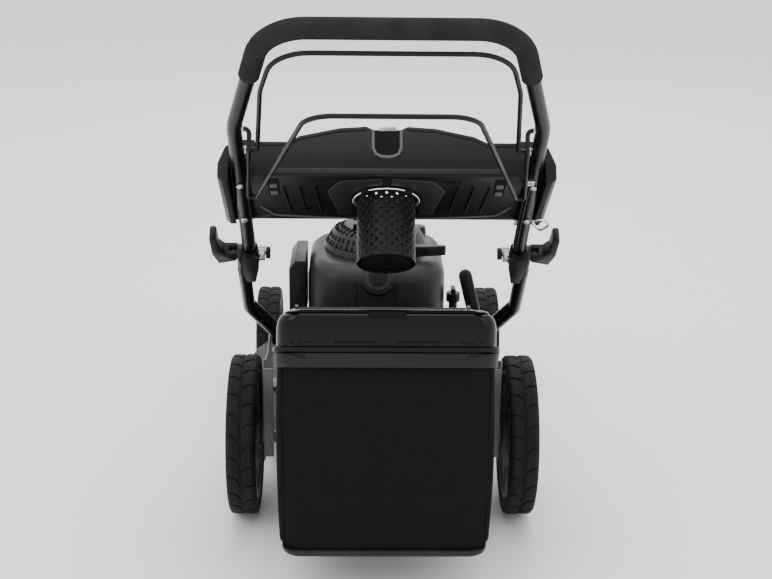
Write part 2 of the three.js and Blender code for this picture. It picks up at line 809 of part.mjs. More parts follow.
function airFilter() {
  const inner = -HOOD_WIDTH / 2 - 4;
  const side = outline([
    [inner - 31, 262],
    [inner, 262],
    [inner, 384],
    [inner - 19, 384],
    [inner - 31, 368],
  ]);
  return prismY(side, -96, 40);
}

function sparkPlug() {
  return join(
    cylinderY(6, 196 + GAP, 222, 0, 222),
    cylinderY(9, 212, 236, 0, 222),
  );
}

const OIL_X = HOOD_WIDTH / 2 + 17;

function oilFiller() {
  return join(
    cylinderZ(8, 178, 300, OIL_X, -70),
    cylinderX(8, 70, OIL_X, -70, 186),
  );
}

piece(engine, "crankcase", crankcase(), FINISH.castGrey);
piece(engine, "cylinder_head", cylinderHead(), FINISH.castGrey);
piece(engine, "engine_hood", engineHood(), FINISH.hood);
piece(engine, "fan_cover", fanCover(), FINISH.hood);
piece(engine, "air_filter_box", airFilter(), FINISH.satinBlack);
piece(engine, "muffler", muffler(), FINISH.steel);
piece(engine, "spark_plug", sparkPlug(), FINISH.satinBlack);
piece(engine, "oil_filler", oilFiller(), FINISH.satinBlack);
const oilCap = join(
  cylinderZ(13, 300 + GAP, 316, OIL_X, -70),
  box([OIL_X - 4, -82, 315], [OIL_X + 4, -58, 326]),
);
piece(engine, "oil_cap", oilCap, FINISH.satinBlack);
const fuelCap = join(
  cylinderZ(FUEL_NECK, HOOD_TOP - 20, HOOD_TOP + 1, FUEL_X, FUEL_Y),
  cylinderZ(17, HOOD_TOP + GAP, HOOD_TOP + 15, FUEL_X, FUEL_Y, 15),
);
piece(engine, "fuel_cap", fuelCap, FINISH.satinBlack);
piece(engine, "starter_grip", starterGrip(), FINISH.satinBlack);

// The shaft carries the fan above and the blade below.
const BLADE_TOP = BLADE_Z + BLADE_THICKNESS;

function flywheel() {
  const hub = cylinderZ(FLYWHEEL_RADIUS, 300, 312, 0, 0);
  const vanes = [];
  for (let i = 0; i < 12; i += 1) {
    const vane = box([36, -2, 311], [FLYWHEEL_RADIUS - 2, 2, 332]);
    vanes.push(vane.rotateZ((i * Math.PI) / 6));
  }
  return cut(join(hub, ...vanes), cylinderZ(SHAFT_RADIUS + GAP, 290, 340));
}

function blade() {
  const half = BLADE_CHORD / 2;
  const bar = box([-BLADE_RADIUS, -half, BLADE_Z], [BLADE_RADIUS, half, BLADE_TOP]);
  const corner = (sign) =>
    prismZ(
      outline([
        [sign * BLADE_RADIUS * 1.01, sign * (half + 1)],
        [sign * BLADE_RADIUS * 0.86, sign * (half + 1)],
        [sign * BLADE_RADIUS * 1.01, sign * (half - 16)],
      ]),
      BLADE_Z - 1,
      BLADE_TOP + 1,
    );
  const sail = box([BLADE_RADIUS * 0.7, -half, BLADE_Z], [BLADE_RADIUS, 6 - half, BLADE_TOP + 10]);
  return cut(
    join(bar, sail, sail.clone().rotateZ(Math.PI)),
    corner(1),
    corner(-1),
    cylinderZ(BLADE_BOLT_RADIUS + GAP, BLADE_Z - 1, BLADE_TOP + 1),
  );
}

const SHAFT_LOW = BLADE_TOP + 12;
const adapter = cut(
  cylinderZ(28, BLADE_TOP + GAP, BLADE_TOP + 30),
  cylinderZ(SHAFT_RADIUS + GAP, SHAFT_LOW - GAP, BLADE_TOP + 31),
  cylinderZ(BLADE_BOLT_RADIUS + GAP, BLADE_TOP - 1, SHAFT_LOW),
);
const bladeBolt = join(
  cylinderZ(BLADE_BOLT_RADIUS, BLADE_Z - GAP - 1, SHAFT_LOW - 2 * GAP),
  cylinderZ(13, BLADE_Z - 9, BLADE_Z - GAP),
);
const shaft = cylinderZ(SHAFT_RADIUS, SHAFT_LOW, 340);

const spindle = new THREE.Group();
spindle.position.set(ENGINE_X, BLADE_AXIS_Y, 0);
mower.add(spindle);
piece(spindle, "crankshaft", shaft, FINISH.steel);
piece(spindle, "flywheel_fan", flywheel(), FINISH.castGrey);
piece(spindle, "blade_adapter", adapter, FINISH.castGrey);
piece(spindle, "blade", blade(), FINISH.steel);
piece(spindle, "blade_bolt", bladeBolt, FINISH.zinc);

// ---------------------------------------------------------------- lower handle and its clamps

// A point of the work frame that lies on the tubes' line, so far along it from the fold bolts.
const onHandle = (along) => [
  FOLD_Y - along * Math.sin(HANDLE_LEAN),
  FOLD_Z + along * Math.cos(HANDLE_LEAN),
];

const LOWER_TOP = -46;
const LOWER_BEND = -188;
const LOWER_INSET = -290;
const LOWER_END = -322;

function lowerTube(sign) {
  const at = (x, along, bend) => [sign * x, ...onHandle(along), ...(bend ? [bend] : [])];
  const half = LOWER_TUBE_WIDTH / 2;
  const section = roundedOutline(-half, -LOWER_TUBE_DEPTH / 2, half, LOWER_TUBE_DEPTH / 2, half - 1);
  return bentBar(
    outline(section.getPoints(3).slice(0, -1).map((p) => [p.x, p.y])),
    [
      at(LOWER_TUBE_X, LOWER_TOP),
      at(LOWER_TUBE_X, LOWER_BEND, 40),
      at(LOWER_END_X, LOWER_INSET, 30),
      at(LOWER_END_X, LOWER_END),
    ],
    12,
  );
}

// The tube's flattened top, a tab outside the upper tube.
const TAB_INNER = TUBE_HALF + TUBE_RADIUS + 1;
const TAB_OUTER = TAB_INNER + LOWER_TAB;

// The other side's copy of a shape.
function mirrored(geometry) {
  const loose = geometry.index ? geometry.toNonIndexed() : geometry.clone();
  loose.scale(-1, 1, 1);
  const place = loose.attributes.position;
  const [a, b] = [new THREE.Vector3(), new THREE.Vector3()];
  for (let i = 0; i < place.count; i += 3) {
    a.fromBufferAttribute(place, i);
    b.fromBufferAttribute(place, i + 1);
    place.setXYZ(i, b.x, b.y, b.z);
    place.setXYZ(i + 1, a.x, a.y, a.z);
  }
  return loose;
}

// Puts a shape drawn at the fold bolts, up along the tubes, into the work frame.
function foldFrame(sign) {
  const frame = new THREE.Matrix4().makeRotationX(HANDLE_LEAN).setPosition(0, FOLD_Y, FOLD_Z);
  return (geometry) => (sign < 0 ? mirrored(geometry) : geometry).applyMatrix4(frame);
}

function lowerHandle(sign) {
  const place = foldFrame(sign);
  const tab = prismX(
    outline([
      [-13, LOWER_TOP - 10],
      [13, LOWER_TOP - 10],
      [13, 8],
      [6, 16],
      [-6, 16],
      [-13, 8],
    ]),
    TAB_INNER,
    TAB_OUTER,
  );
  return cut(
    join(lowerTube(sign), place(tab)),
    place(cylinderX(FOLD_BOLT_RADIUS + GAP, TAB_INNER - 1, TAB_OUTER + 1)),
    place(box([TAB_INNER - 40, -30, LOWER_TOP - 1], [TAB_INNER, 30, 40])),
  );
}

const CAM_X = TAB_OUTER + 9;
const CAM_PIN_RADIUS = 4;
const SLEEVE_RADIUS = 15;
const KNOB_OUTER = TUBE_HALF - SLEEVE_RADIUS - RUN;

// Bolt from its toothed knob inside the handle to the cam lever's pin outside it.
function foldBolt() {
  const teeth = [];
  for (let i = 0; i < 6; i += 1) {
    const tooth = box([KNOB_OUTER - 9, 8, -3.2], [KNOB_OUTER, 13.5, 3.2]);
    teeth.push(tooth.rotateX((i * Math.PI) / 3));
  }
  return join(
    cylinderX(FOLD_BOLT_RADIUS, KNOB_OUTER - 11, CAM_X - 2),
    cylinderY(CAM_PIN_RADIUS, -7, 7, CAM_X, 0),
    cylinderX(11, KNOB_OUTER - 9, KNOB_OUTER),
    ...teeth,
  );
}

// The lever's heel is round about its pin, so that it turns beside the tab. A slot lets the bolt in.
function camLever() {
  const heel = CAM_X - TAB_OUTER - GAP;
  const side = outline([
    [CAM_X, -heel],
    [TAB_OUTER + 24, -14],
    [TAB_OUTER + 31, -16],
    [TAB_OUTER + 40, 14],
    [TAB_OUTER + 41, 62],
    [TAB_OUTER + 37, 66],
    [TAB_OUTER + 30, 64],
    [TAB_OUTER + 29, 26],
    [TAB_OUTER + 20, 12],
    [TAB_OUTER + GAP, 12],
    [TAB_OUTER + GAP, 0],
  ]);
  const half = FOLD_BOLT_RADIUS + GAP;
  return cut(
    join(prismY(side, -12, 12), cylinderY(heel, -12, 12, CAM_X, 0)),
    cylinderY(bore(CAM_PIN_RADIUS), -8, 8, CAM_X, 0),
    box([TAB_OUTER - 1, -half, -21], [CAM_X + half, half, 13]),
  );
}

for (const side of Object.keys(SIDE)) {
  const place = foldFrame(SIDE[side]);
  piece(mower, `lower_handle_${side}`, lowerHandle(SIDE[side]), FINISH.tubeBlack);
  const parts = [
    ["fold_bolt", foldBolt(), FINISH.zinc],
    ["cam_lever", camLever(), FINISH.satinBlack],
  ];
  for (const [name, shape, look] of parts) {
    piece(mower, `${name}_${side}`, place(geometryOf(shape)), look);
  }
}

// ---------------------------------------------------------------- height lever

function heightLever() {
  const blade = roundedOutline(LEVER_Y - 11, LEVER_Z - 12, LEVER_Y + 11, LEVER_Z + LEVER_RISE, 10);
  return cut(
    join(
      prismX(blade, LEVER_X - 2.5, LEVER_X + 2.5),
      cylinderX(11, LEVER_X - 6, LEVER_X + 6, LEVER_Y, LEVER_Z),
    ),
    cylinderX(5 + GAP, LEVER_X - 7, LEVER_X + 7, LEVER_Y, LEVER_Z),
  );
}

function heightGrip() {
  const low = LEVER_Z + LEVER_RISE + GAP;
  const body = new THREE.CapsuleGeometry(12, 78, 3, 12);
  body.rotateX(Math.PI / 2).scale(1, 0.8, 1).translate(0, 0, 51);
  body.rotateY(THREE.MathUtils.degToRad(-14)).translate(LEVER_X, LEVER_Y, low - 2);
  return cut(body, box([LEVER_X - 40, LEVER_Y - 40, low - 30], [LEVER_X + 40, LEVER_Y + 40, low]));
}

piece(mower, "height_lever", heightLever(), FINISH.zinc);
piece(mower, "height_grip", heightGrip(), FINISH.satinBlack);

// ---------------------------------------------------------------- upper handle

// Seen along the tubes: X across, Y off the tubes towards the front, Z up along the tubes.
const handle = new THREE.Group();
handle.position.set(0, FOLD_Y, FOLD_Z);
handle.rotation.x = HANDLE_LEAN;
mower.add(handle);

const tubeLean = (GRIP_BAR_Z - KNEE_Z) / (TUBE_HALF - GRIP_BAR_HALF);
const legX = (z) => (z < KNEE_Z ? TUBE_HALF : TUBE_HALF - (z - KNEE_Z) / tubeLean);

function handleLine(start) {
  const legs = (sign) => {
    const corners = [[sign * legX(start), 0, start]];
    if (start < KNEE_Z) corners.push([sign * TUBE_HALF, 0, KNEE_Z, KNEE_BEND]);
    corners.push([sign * GRIP_BAR_HALF, 0, GRIP_BAR_Z, GRIP_BEND]);
    return corners;
  };
  return [...legs(-1), ...legs(1).reverse()];
}

function upperHandle() {
  const section = ringOutline(TUBE_RADIUS, 12, TUBE_RADIUS - TUBE_WALL, 6);
  const tube = bentBar(section, handleLine(TUBE_FOOT), 11);
  const reach = TUBE_HALF + 20;
  const holes = [
    cylinderX(bore(FOLD_BOLT_RADIUS), -reach, reach),
    cylinderX(3 + GAP, TUBE_HALF - 20, reach, 0, GUIDE_Z),
  ];
  for (const sign of [-1, 1]) {
    for (const z of [DRIVE_PIVOT_Z, BRAKE_PIVOT_Z]) {
      const hole = cylinderX(ROD_RADIUS + RUN, -10, 10, 0, z);
      holes.push(hole.translate(sign * (TUBE_HALF - 10), 0, 0));
    }
    for (const z of TRAY_BOLTS) holes.push(cylinderY(3 + GAP, -20, 20, sign * TUBE_HALF, z));
  }
  return cut(tube, ...holes);
}

const foamGrip = () =>
  bentBar(ringOutline(FOAM_RADIUS, 12, TUBE_RADIUS + GAP), handleLine(FOAM_START_Z), 11);

// The fitting on the tube's foot: a sleeve with a wedge that covers the joint's rear. It is flat
// on its outer side, where the lower tube's tab is.
function knuckle(sign) {
  const x = TUBE_HALF;
  const wedge = outline([
    [x - 16, 16],
    [x - 15, -12],
    [x - 7, -60],
    [x + 7, -60],
    [x + 15, -12],
    [x + 16, 16],
  ]);
  const body = cut(
    join(
      cylinderZ(SLEEVE_RADIUS, -26, 16, x, 0),
      prismY(wedge, -23, -16),
      box([x - 11, -17, -24], [x + 11, -8, 14]),
    ),
    cylinderZ(TUBE_RADIUS + 1, -30, 30, x, 0),
    cylinderX(bore(FOLD_BOLT_RADIUS), x - 40, x + 40),
    box([TAB_INNER - GAP, -30, -70], [TAB_INNER + 20, 20, 20]),
  );
  return sign < 0 ? mirrored(geometryOf(body)) : body;
}

piece(handle, "upper_handle", upperHandle(), FINISH.tubeBlack);
piece(handle, "foam_grip", foamGrip(), FINISH.foam);

// ---------------------------------------------------------------- bails

const drive = new THREE.Group();
drive.position.set(0, 0, DRIVE_PIVOT_Z);
drive.rotation.x = DRIVE_LEAN;
handle.add(drive);

const ROD_END = TUBE_HALF - 6;

function mirroredLine(half) {
  const other = [...half].reverse().map(([x, ...rest]) => [-x, ...rest]);
  return [...half, ...other];
}

const driveBail = rod(
  mirroredLine([
    [-ROD_END, 0, 0],
    [30 - TUBE_HALF, 0, 0, 9],
    [43.5 - TUBE_HALF, 0, 165, 120],
    [66.3 - TUBE_HALF, 0, DRIVE_REACH, 60],
  ]),
);
piece(drive, "drive_bail", driveBail, FINISH.satinBlack);

const brake = new THREE.Group();
brake.position.set(0, 0, BRAKE_PIVOT_Z);
handle.add(brake);

const brakeBail = rod(
  mirroredLine([
    [-ROD_END, 0, 0],
    [22 - TUBE_HALF, 0, 0, 8],
    [20 - TUBE_HALF, -19, -26, 12],
    [12 - TUBE_HALF, -21, -152, 5.2],
    [24 - TUBE_HALF, -21, -152, 5.2],
    [110 - TUBE_HALF, -104, 183, 45],
  ]),
);
piece(brake, "brake_bail", brakeBail, FINISH.satinBlack);

piece(handle, "knuckle_left", knuckle(-1), FINISH.satinBlack);
piece(handle, "knuckle_right", knuckle(1), FINISH.satinBlack);

// ---------------------------------------------------------------- tray

// X across, Z along the tray's floor from front to rear, Y up off the floor.
const tray = new THREE.Group();
tray.position.set(0, TUBE_RADIUS, TRAY_Z);
tray.rotation.x = TRAY_TILT;
handle.add(tray);

// The tray's rear view: a raised middle, a dip each side of it and flat ends.
function trayOutline(inset) {
  const half = (sign) => [
    [sign * 20, 75],
    [sign * 31, 81],
    [sign * 72, 78],
    [sign * 130, 65],
    [sign * 150, 55],
    [sign * (TRAY_HALF - inset), 55],
  ];
  const raise = inset ? 60 : 0;
  return outline([
    ...half(-1).reverse().map(([x, y]) => [x, y + raise]),
    ...half(1).map(([x, y]) => [x, y + raise]),
    [TRAY_HALF - inset, inset],
    [-TRAY_HALF + inset, inset],
  ]);
}

// Outlines in the tray's rear view are drawn as (x, height) and pulled along the floor.
function prismTray(shape, z0, z1) {
  const geometry = new THREE.ExtrudeGeometry(shape, { depth: z1 - z0, bevelEnabled: false });
  return geometry.translate(0, 0, z0);
}

function tubeSpace(sign) {
  const x = sign * TUBE_HALF;
  const space = box([x - 16, -80, -140], [x + 16, TUBE_RADIUS + 1, 300]);
  return space.translate(0, -TUBE_RADIUS, 0).rotateX(-TRAY_TILT);
}

// Over each tube the tray has a wing: a hollow cap whose outer skirt hangs beside the tube.
function wing() {
  const outer = TRAY_WING;
  const inner = TRAY_HALF - 2;
  const block = outline([
    [inner, 0],
    [outer - 46, 0],
    [outer - 14, -9],
    [outer - 7, -9],
    [outer, -2],
    [outer, 20],
    [outer - 10, 46],
    [outer - 26, 58],
    [inner, 58],
  ]);
  const floor = box([inner - 1, -60, -60], [outer + 1, TUBE_RADIUS + 5, 300]);
  floor.translate(0, -TUBE_RADIUS, 0).rotateX(-TRAY_TILT);
  const pocket = cut(box([inner + 5, 0, TRAY_FRONT - 5], [outer - 5, 90, TRAY_REAR - 5]), floor);
  return cut(prismTray(block, TRAY_FRONT, TRAY_REAR), pocket);
}

function trayShell() {
  const tub = prismTray(trayOutline(0), TRAY_FRONT, TRAY_REAR);
  const hollow = prismTray(trayOutline(TRAY_WALL), TRAY_FRONT + TRAY_WALL, TRAY_REAR - TRAY_WALL);
  const slope = prismX(
    outline([
      [36, TRAY_FRONT - 1],
      [90, TRAY_FRONT - 1],
      [90, 100],
      [80, 100],
    ]),
    -300,
    300,
  );
  const clip = (x) => box([x - 6, -8, CUP_Z + 32], [x + 6, 1, CUP_Z + 44]);
  const ringSpace = new THREE.TorusGeometry(RING_RADIUS, RING_WIRE + 2 * GAP, 6, 24);
  ringSpace.rotateX(Math.PI / 2).translate(0, RING_Y, CUP_Z);
  const boltHoles = [];
  for (const sign of [-1, 1]) {
    for (const z of TRAY_BOLTS) {
      const hole = cylinderY(3 + GAP, -60, 30, sign * TUBE_HALF, z - TRAY_Z);
      boltHoles.push(hole.translate(0, -TUBE_RADIUS, 0).rotateX(-TRAY_TILT));
    }
  }
  return cut(
    join(cut(tub, hollow), wing(), mirrored(geometryOf(wing())), clip(-33), clip(33)),
    slope,
    cylinderY(CUP_RADIUS + 2 * GAP, -10, TRAY_WALL + 1, 0, CUP_Z),
    tubeSpace(-1),
    tubeSpace(1),
    ringSpace,
    ...boltHoles,
  );
}

const RING_Y = -RING_WIRE - 1;

function cupBasket() {
  const foot = TRAY_WALL - CUP_DEPTH;
  const lip = TRAY_WALL + GAP;
  const profile = [
    [0, foot],
    [CUP_RADIUS - 5, foot],
    [CUP_RADIUS - 1, foot + 3],
    [CUP_RADIUS, foot + 8],
    [CUP_RADIUS, lip],
    [CUP_RADIUS + 4, lip],
    [CUP_RADIUS + 4, lip + 2],
    [CUP_RADIUS - CUP_WALL, lip + 2],
    [CUP_RADIUS - CUP_WALL, foot + 9],
    [CUP_RADIUS - 6, foot + CUP_WALL + 1],
    [0, foot + CUP_WALL],
  ];
  const turned = turnedZ(profile, 24).rotateX(-Math.PI / 2);
  return turned.translate(0, 0, CUP_Z);
}

const cupRing = new THREE.TorusGeometry(RING_RADIUS, RING_WIRE, 6, 24);
cupRing.rotateX(Math.PI / 2).translate(0, RING_Y, CUP_Z);

piece(tray, "tray_shell", trayShell(), FINISH.satinBlack);
piece(tray, "cup_basket", cupBasket(), FINISH.satinBlack);
piece(tray, "cup_ring", cupRing, FINISH.chrome);

for (const side of Object.keys(SIDE)) {
  TRAY_BOLTS.forEach((z, i) => {
    const x = SIDE[side] * TUBE_HALF;
    const head = TUBE_RADIUS + GAP;
    const bolt = join(
      cylinderY(5.5, -head - 3, -head, x, z),
      cylinderY(3, -head - 1, TUBE_RADIUS + 5, x, z),
    );
    piece(handle, `tray_bolt_${["lower", "upper"][i]}_${side}`, bolt, FINISH.zinc);
  });
}

// The starter rope's wire guide, on a cross bolt of the right tube.
const guideSide = TUBE_HALF + TUBE_RADIUS + GAP;
const ropeGuide = join(
  cylinderX(3, guideSide - 28, guideSide + 4, 0, GUIDE_Z),
  cylinderX(6, guideSide, guideSide + 4, 0, GUIDE_Z),
  cylinderX(6, guideSide - 27, guideSide - 22 - 2 * GAP, 0, GUIDE_Z),
  rod(
    [
      [guideSide + 3, -3, GUIDE_Z],
      [guideSide + 12, -13, GUIDE_Z - 8, 7],
      [guideSide + 27, -14, GUIDE_Z + 12, 12],
      [guideSide + 14, -14, GUIDE_Z + 34, 9],
      [guideSide + 2, -13, GUIDE_Z + 24],
    ],
    1.8,
    6,
  ),
);
piece(handle, "rope_guide", ropeGuide, FINISH.chrome);

// ---------------------------------------------------------------- origin

// The origin is on the ground, in the middle of the footprint.
mower.updateMatrixWorld(true);
const extent = new THREE.Box3().setFromObject(mower, true);
const middle = extent.getCenter(new THREE.Vector3());
mower.position.set(-middle.x, -middle.y, -extent.min.z);

export default mower;
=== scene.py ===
"""Petrol lawn mower with a rear grass bag: the surfaces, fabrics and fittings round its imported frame.

Metres throughout. +X is the operator's right, +Y is forward and +Z is up.
"""

import json
import math

import bmesh
import bpy
from bpy.props import FloatProperty, FloatVectorProperty, IntProperty, PointerProperty
from mathutils import Matrix, Vector, noise

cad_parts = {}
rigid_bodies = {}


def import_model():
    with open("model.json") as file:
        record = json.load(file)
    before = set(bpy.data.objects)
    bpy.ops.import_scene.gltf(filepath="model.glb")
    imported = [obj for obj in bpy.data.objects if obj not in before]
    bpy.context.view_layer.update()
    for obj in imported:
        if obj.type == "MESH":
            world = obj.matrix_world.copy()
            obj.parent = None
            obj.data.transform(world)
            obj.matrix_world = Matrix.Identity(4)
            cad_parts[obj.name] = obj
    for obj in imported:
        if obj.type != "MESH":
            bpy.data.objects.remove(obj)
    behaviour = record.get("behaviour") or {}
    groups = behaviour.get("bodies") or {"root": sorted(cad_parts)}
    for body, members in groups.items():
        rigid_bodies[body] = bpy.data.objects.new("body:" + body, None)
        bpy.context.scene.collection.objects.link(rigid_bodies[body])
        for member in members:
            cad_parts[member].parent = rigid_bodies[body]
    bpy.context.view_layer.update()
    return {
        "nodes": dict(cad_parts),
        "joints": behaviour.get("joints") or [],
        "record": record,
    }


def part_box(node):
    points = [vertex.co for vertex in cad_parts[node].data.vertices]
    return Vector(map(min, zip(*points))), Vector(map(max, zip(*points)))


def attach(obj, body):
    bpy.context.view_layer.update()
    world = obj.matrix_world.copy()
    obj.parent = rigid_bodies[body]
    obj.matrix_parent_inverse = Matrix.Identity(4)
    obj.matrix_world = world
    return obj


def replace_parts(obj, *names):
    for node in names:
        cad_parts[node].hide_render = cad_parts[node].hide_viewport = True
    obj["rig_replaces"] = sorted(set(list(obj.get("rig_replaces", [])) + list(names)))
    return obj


bl_info = {
    "name": "Lawn Mower",
    "version": (1, 0, 0),
    "blender": (4, 5, 0),
    "location": "View3D > Sidebar > Mower",
    "description": "Builds the visible pieces and finishes of a walk-behind lawn mower",
    "category": "Object",
}

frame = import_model()
NODES = frame["nodes"]
SLOT = {part["node"]: part["material_slot"] for part in frame["record"]["subparts"]}
SIDES = {"left": -1, "right": 1}


def mm(*values):
    """Millimetres as metres: one number, or a vector."""
    metres = [value * 0.001 for value in values]
    return metres[0] if len(metres) == 1 else Vector(metres)


def pivot(joint_name):
    """Where a joint turns."""
    return Vector(next(j for j in frame["joints"] if j["name"] == joint_name)["pos_m"])


# The handle's own frame: X across, Y off the tubes towards the front, Z up along the tubes.
HANDLE_LEAN = math.radians(43.5)
HANDLE = Matrix.Translation(pivot("handle_fold")) @ Matrix.Rotation(HANDLE_LEAN, 4, "X")
# The tray's frame: X across, Y up off its floor, Z along its floor from front to rear.
TRAY_TILT = math.radians(9)
TRAY = HANDLE @ Matrix.Translation(mm(0, 11, 105)) @ Matrix.Rotation(TRAY_TILT, 4, "X")
REST = Matrix.Identity(4)


# ------------------------------------------------------------------ sizes and colours


def grey(level, tint=0.0):
    """A grey of 0 to 255 as the screen shows it, warmer or cooler by the tint, as linear colour."""
    base = (level / 255) ** 2.2
    return (base * (1 + tint), base, base * (1 - tint))


def length(label, about, millimetres):
    return FloatProperty(
        name=label, description=about, default=millimetres * 0.001, unit="LENGTH", precision=5
    )


def colour(label, level, tint=0.0):
    return FloatVectorProperty(
        name=label,
        description=f"Colour of the {label.lower()}",
        default=grey(level, tint),
        subtype="COLOR",
        size=3,
        min=0,
        max=1,
    )


class MowerSizes(bpy.types.PropertyGroup):
    """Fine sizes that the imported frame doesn't hold."""

    tread_blocks: IntProperty(
        name="Tread blocks", description="Blocks round each row of a tread", default=24
    )
    tread_height: length("Tread height", "How far a block stands out of the tyre", 2.6)
    tread_groove: length("Tread groove", "Width of the groove between two blocks", 3.4)
    tube_radius: length("Tube radius", "Outer radius of the handle's tube", 11)
    foam_radius: length("Foam radius", "Outer radius of the foam grip", 14.8)
    rod_radius: length("Rod radius", "Radius of the two bails", 3.5)
    edge: length("Edge round", "Rounding of moulded and pressed edges", 1.1)
    bag_crown: length("Bag crown", "How far the bag's walls swell", 4.5)
    lid_rise: length("Lid rise", "How much higher the lid stands at its rear", 9)
    bag_corner: length("Bag corner", "Radius of the bag's upright corners", 24)
    cup_columns: IntProperty(
        name="Basket columns", description="Columns of holes round the cup basket", default=34
    )
    cup_hole: length("Basket hole", "Radius of a hole in the cup basket", 2.1)


class MowerColours(bpy.types.PropertyGroup):
    """The colour of each finish."""

    deck_paint: colour("Deck paint", 30)
    bracket_steel: colour("Bracket steel", 112)
    tube_paint: colour("Tube paint", 16)
    bail_paint: colour("Bail paint", 20)
    grip_foam: colour("Grip foam", 42)
    tyre_rubber: colour("Tyre rubber", 32)
    rim_plastic: colour("Rim plastic", 84)
    trim_plastic: colour("Trim plastic", 27)
    hood_plastic: colour("Hood plastic", 42)
    lid_plastic: colour("Lid plastic", 13)
    pan_plastic: colour("Pan plastic", 38)
    bag_cloth: colour("Bag cloth", 27)
    cast_alloy: colour("Cast alloy", 120)
    plain_steel: colour("Plain steel", 150)
    zinc_hardware: colour("Zinc hardware", 205, -0.03)
    chrome_wire: colour("Chrome wire", 225, -0.02)


# ------------------------------------------------------------------ finishes


class Value:
    """A shader socket that takes part in arithmetic."""

    def __init__(self, finish, socket):
        self.finish = finish
        self.socket = socket

    def math(self, operation, *others):
        return self.finish.node("ShaderNodeMath", {"operation": operation}, dict(enumerate([self, *others])))

    def __add__(self, other):
        return self.math("ADD", other)

    __radd__ = __add__

    def __mul__(self, other):
        return self.math("MULTIPLY", other)

    __rmul__ = __mul__

    def __sub__(self, other):
        return self.math("SUBTRACT", other)

    def __rsub__(self, other):
        return (self * -1) + other

    def __gt__(self, other):
        return self.math("GREATER_THAN", other)


class Finish:
    """One procedural material on a Principled shader."""

    def __init__(self, name, tone, metallic=0.0, shine=0.2, **constants):
        self.material = bpy.data.materials.new(f"mower_{name}")
        self.material.use_nodes = True
        self.tree = self.material.node_tree
        self.shader = self.tree.nodes["Principled BSDF"]
        self.tone = (*tone, 1)
        self.set("Base Color", self.tone)
        self.set("Metallic", metallic)
        self.set("Specular IOR Level", shine)
        for socket, value in constants.items():
            self.set(socket.replace("_", " ").title().replace("Ior", "IOR"), value)
        self.place = self.node("ShaderNodeTexCoord", output="Object")

    def node(self, kind, settings=None, inputs=None, output=0):
        """Adds a node with its settings, then its sockets' values or links; gives one output."""
        made = self.tree.nodes.new(kind)
        for key, value in (settings or {}).items():
            setattr(made, key, value)
        for key, value in (inputs or {}).items():
            if isinstance(value, Value):
                self.tree.links.new(value.socket, made.inputs[key])
            else:
                made.inputs[key].default_value = value
        return Value(self, made.outputs[output])

    def set(self, socket, value):
        if isinstance(value, Value):
            self.tree.links.new(value.socket, self.shader.inputs[socket])
        else:
            self.shader.inputs[socket].default_value = value

    def noise(self, scale, detail=2.0, stretch=None):
        place = self.place
        if stretch:
            place = self.node("ShaderNodeMapping", None, {"Vector": place, "Scale": stretch})
        inputs = {"Vector": place, "Scale": scale, "Detail": detail}
        return self.node("ShaderNodeTexNoise", None, inputs, "Fac")

    def between(self, value, low, high, out_low, out_high):
        inputs = {0: value, 1: low, 2: high, 3: out_low, 4: out_high}
        return self.node("ShaderNodeMapRange", {"clamp": True}, inputs)

    def tint(self, factor, darker, lighter):
        """Base colour that runs between two strengths of the finish's tone."""
        shades = [tuple(channel * strength for channel in self.tone[:3]) + (1,) for strength in (darker, lighter)]
        mix = {0: factor, 6: shades[0], 7: shades[1]}
        self.set("Base Color", self.node("ShaderNodeMix", {"data_type": "RGBA"}, mix, 2))

    def bump(self, height, depth, strength=1.0):
        inputs = {"Height": height, "Distance": depth, "Strength": strength}
        self.set("Normal", self.node("ShaderNodeBump", None, inputs))


def moulded(name, tone, rough, spread=0.06, grain=900, depth=0.00012, **constants):
    """Moulded plastic: fine grain, soft handling marks and slightly uneven gloss."""
    made = Finish(name, tone, **constants)
    cloud = made.noise(9, 4)
    speck = made.noise(grain, 2)
    made.tint(made.between(cloud, 0.35, 0.65, 0, 1), 0.86, 1.14)
    made.set("Roughness", made.between(cloud * 0.6 + speck * 0.4, 0.35, 0.65, rough - spread, rough + spread))
    made.bump(speck, depth)
    return made


def painted(name, tone, rough, metallic=0.0, coat=0.3, shine=0.4):
    """Powder coat: a faint orange peel under a thin clear layer, dustier in patches."""
    made = Finish(name, tone, metallic, shine, coat_weight=coat, coat_roughness=0.22)
    peel = made.noise(420, 1)
    dust = made.noise(14, 5)
    made.tint(made.between(dust, 0.4, 0.7, 0, 1), 0.9, 1.25)
    made.set("Roughness", made.between(dust, 0.35, 0.7, rough - 0.05, rough + 0.12))
    made.bump(peel, 0.00015)
    return made


def bare_metal(name, tone, rough, stretch=(1, 1, 1), scale=260):
    """Plain or plated metal with drawn or turned marks along its stretch."""
    made = Finish(name, tone, 1.0, 0.5)
    marks = made.noise(scale, 3, stretch)
    stain = made.noise(30, 4)
    made.tint(made.between(stain, 0.35, 0.7, 0, 1), 0.78, 1.08)
    made.set("Roughness", made.between(marks, 0.3, 0.7, rough * 0.7, rough * 1.5))
    made.bump(marks, 0.00006)
    return made


def woven(name, tone, pitch):
    """Plain weave: threads over and under, worked out from the place on the bag's walls."""
    made = Finish(name, tone, shine=0.05)
    axes = made.node("ShaderNodeSeparateXYZ", None, {"Vector": made.place}, "X")
    separate = axes.socket.node
    turns = 2 * math.pi / pitch
    waves = [
        (Value(made, separate.outputs[axis]) * turns).math("SINE") for axis in ("X", "Y", "Z")
    ]
    weave = (waves[0] + waves[1]) * waves[2]
    band = made.noise(60, 3, (1, 1, 6))
    made.tint(made.between(weave + band * 0.8, -0.8, 1.6, 0, 1), 0.6, 1.55)
    made.set("Roughness", made.between(band, 0.3, 0.7, 0.82, 0.98))
    made.bump(weave, pitch * 0.1, 0.7)
    return made


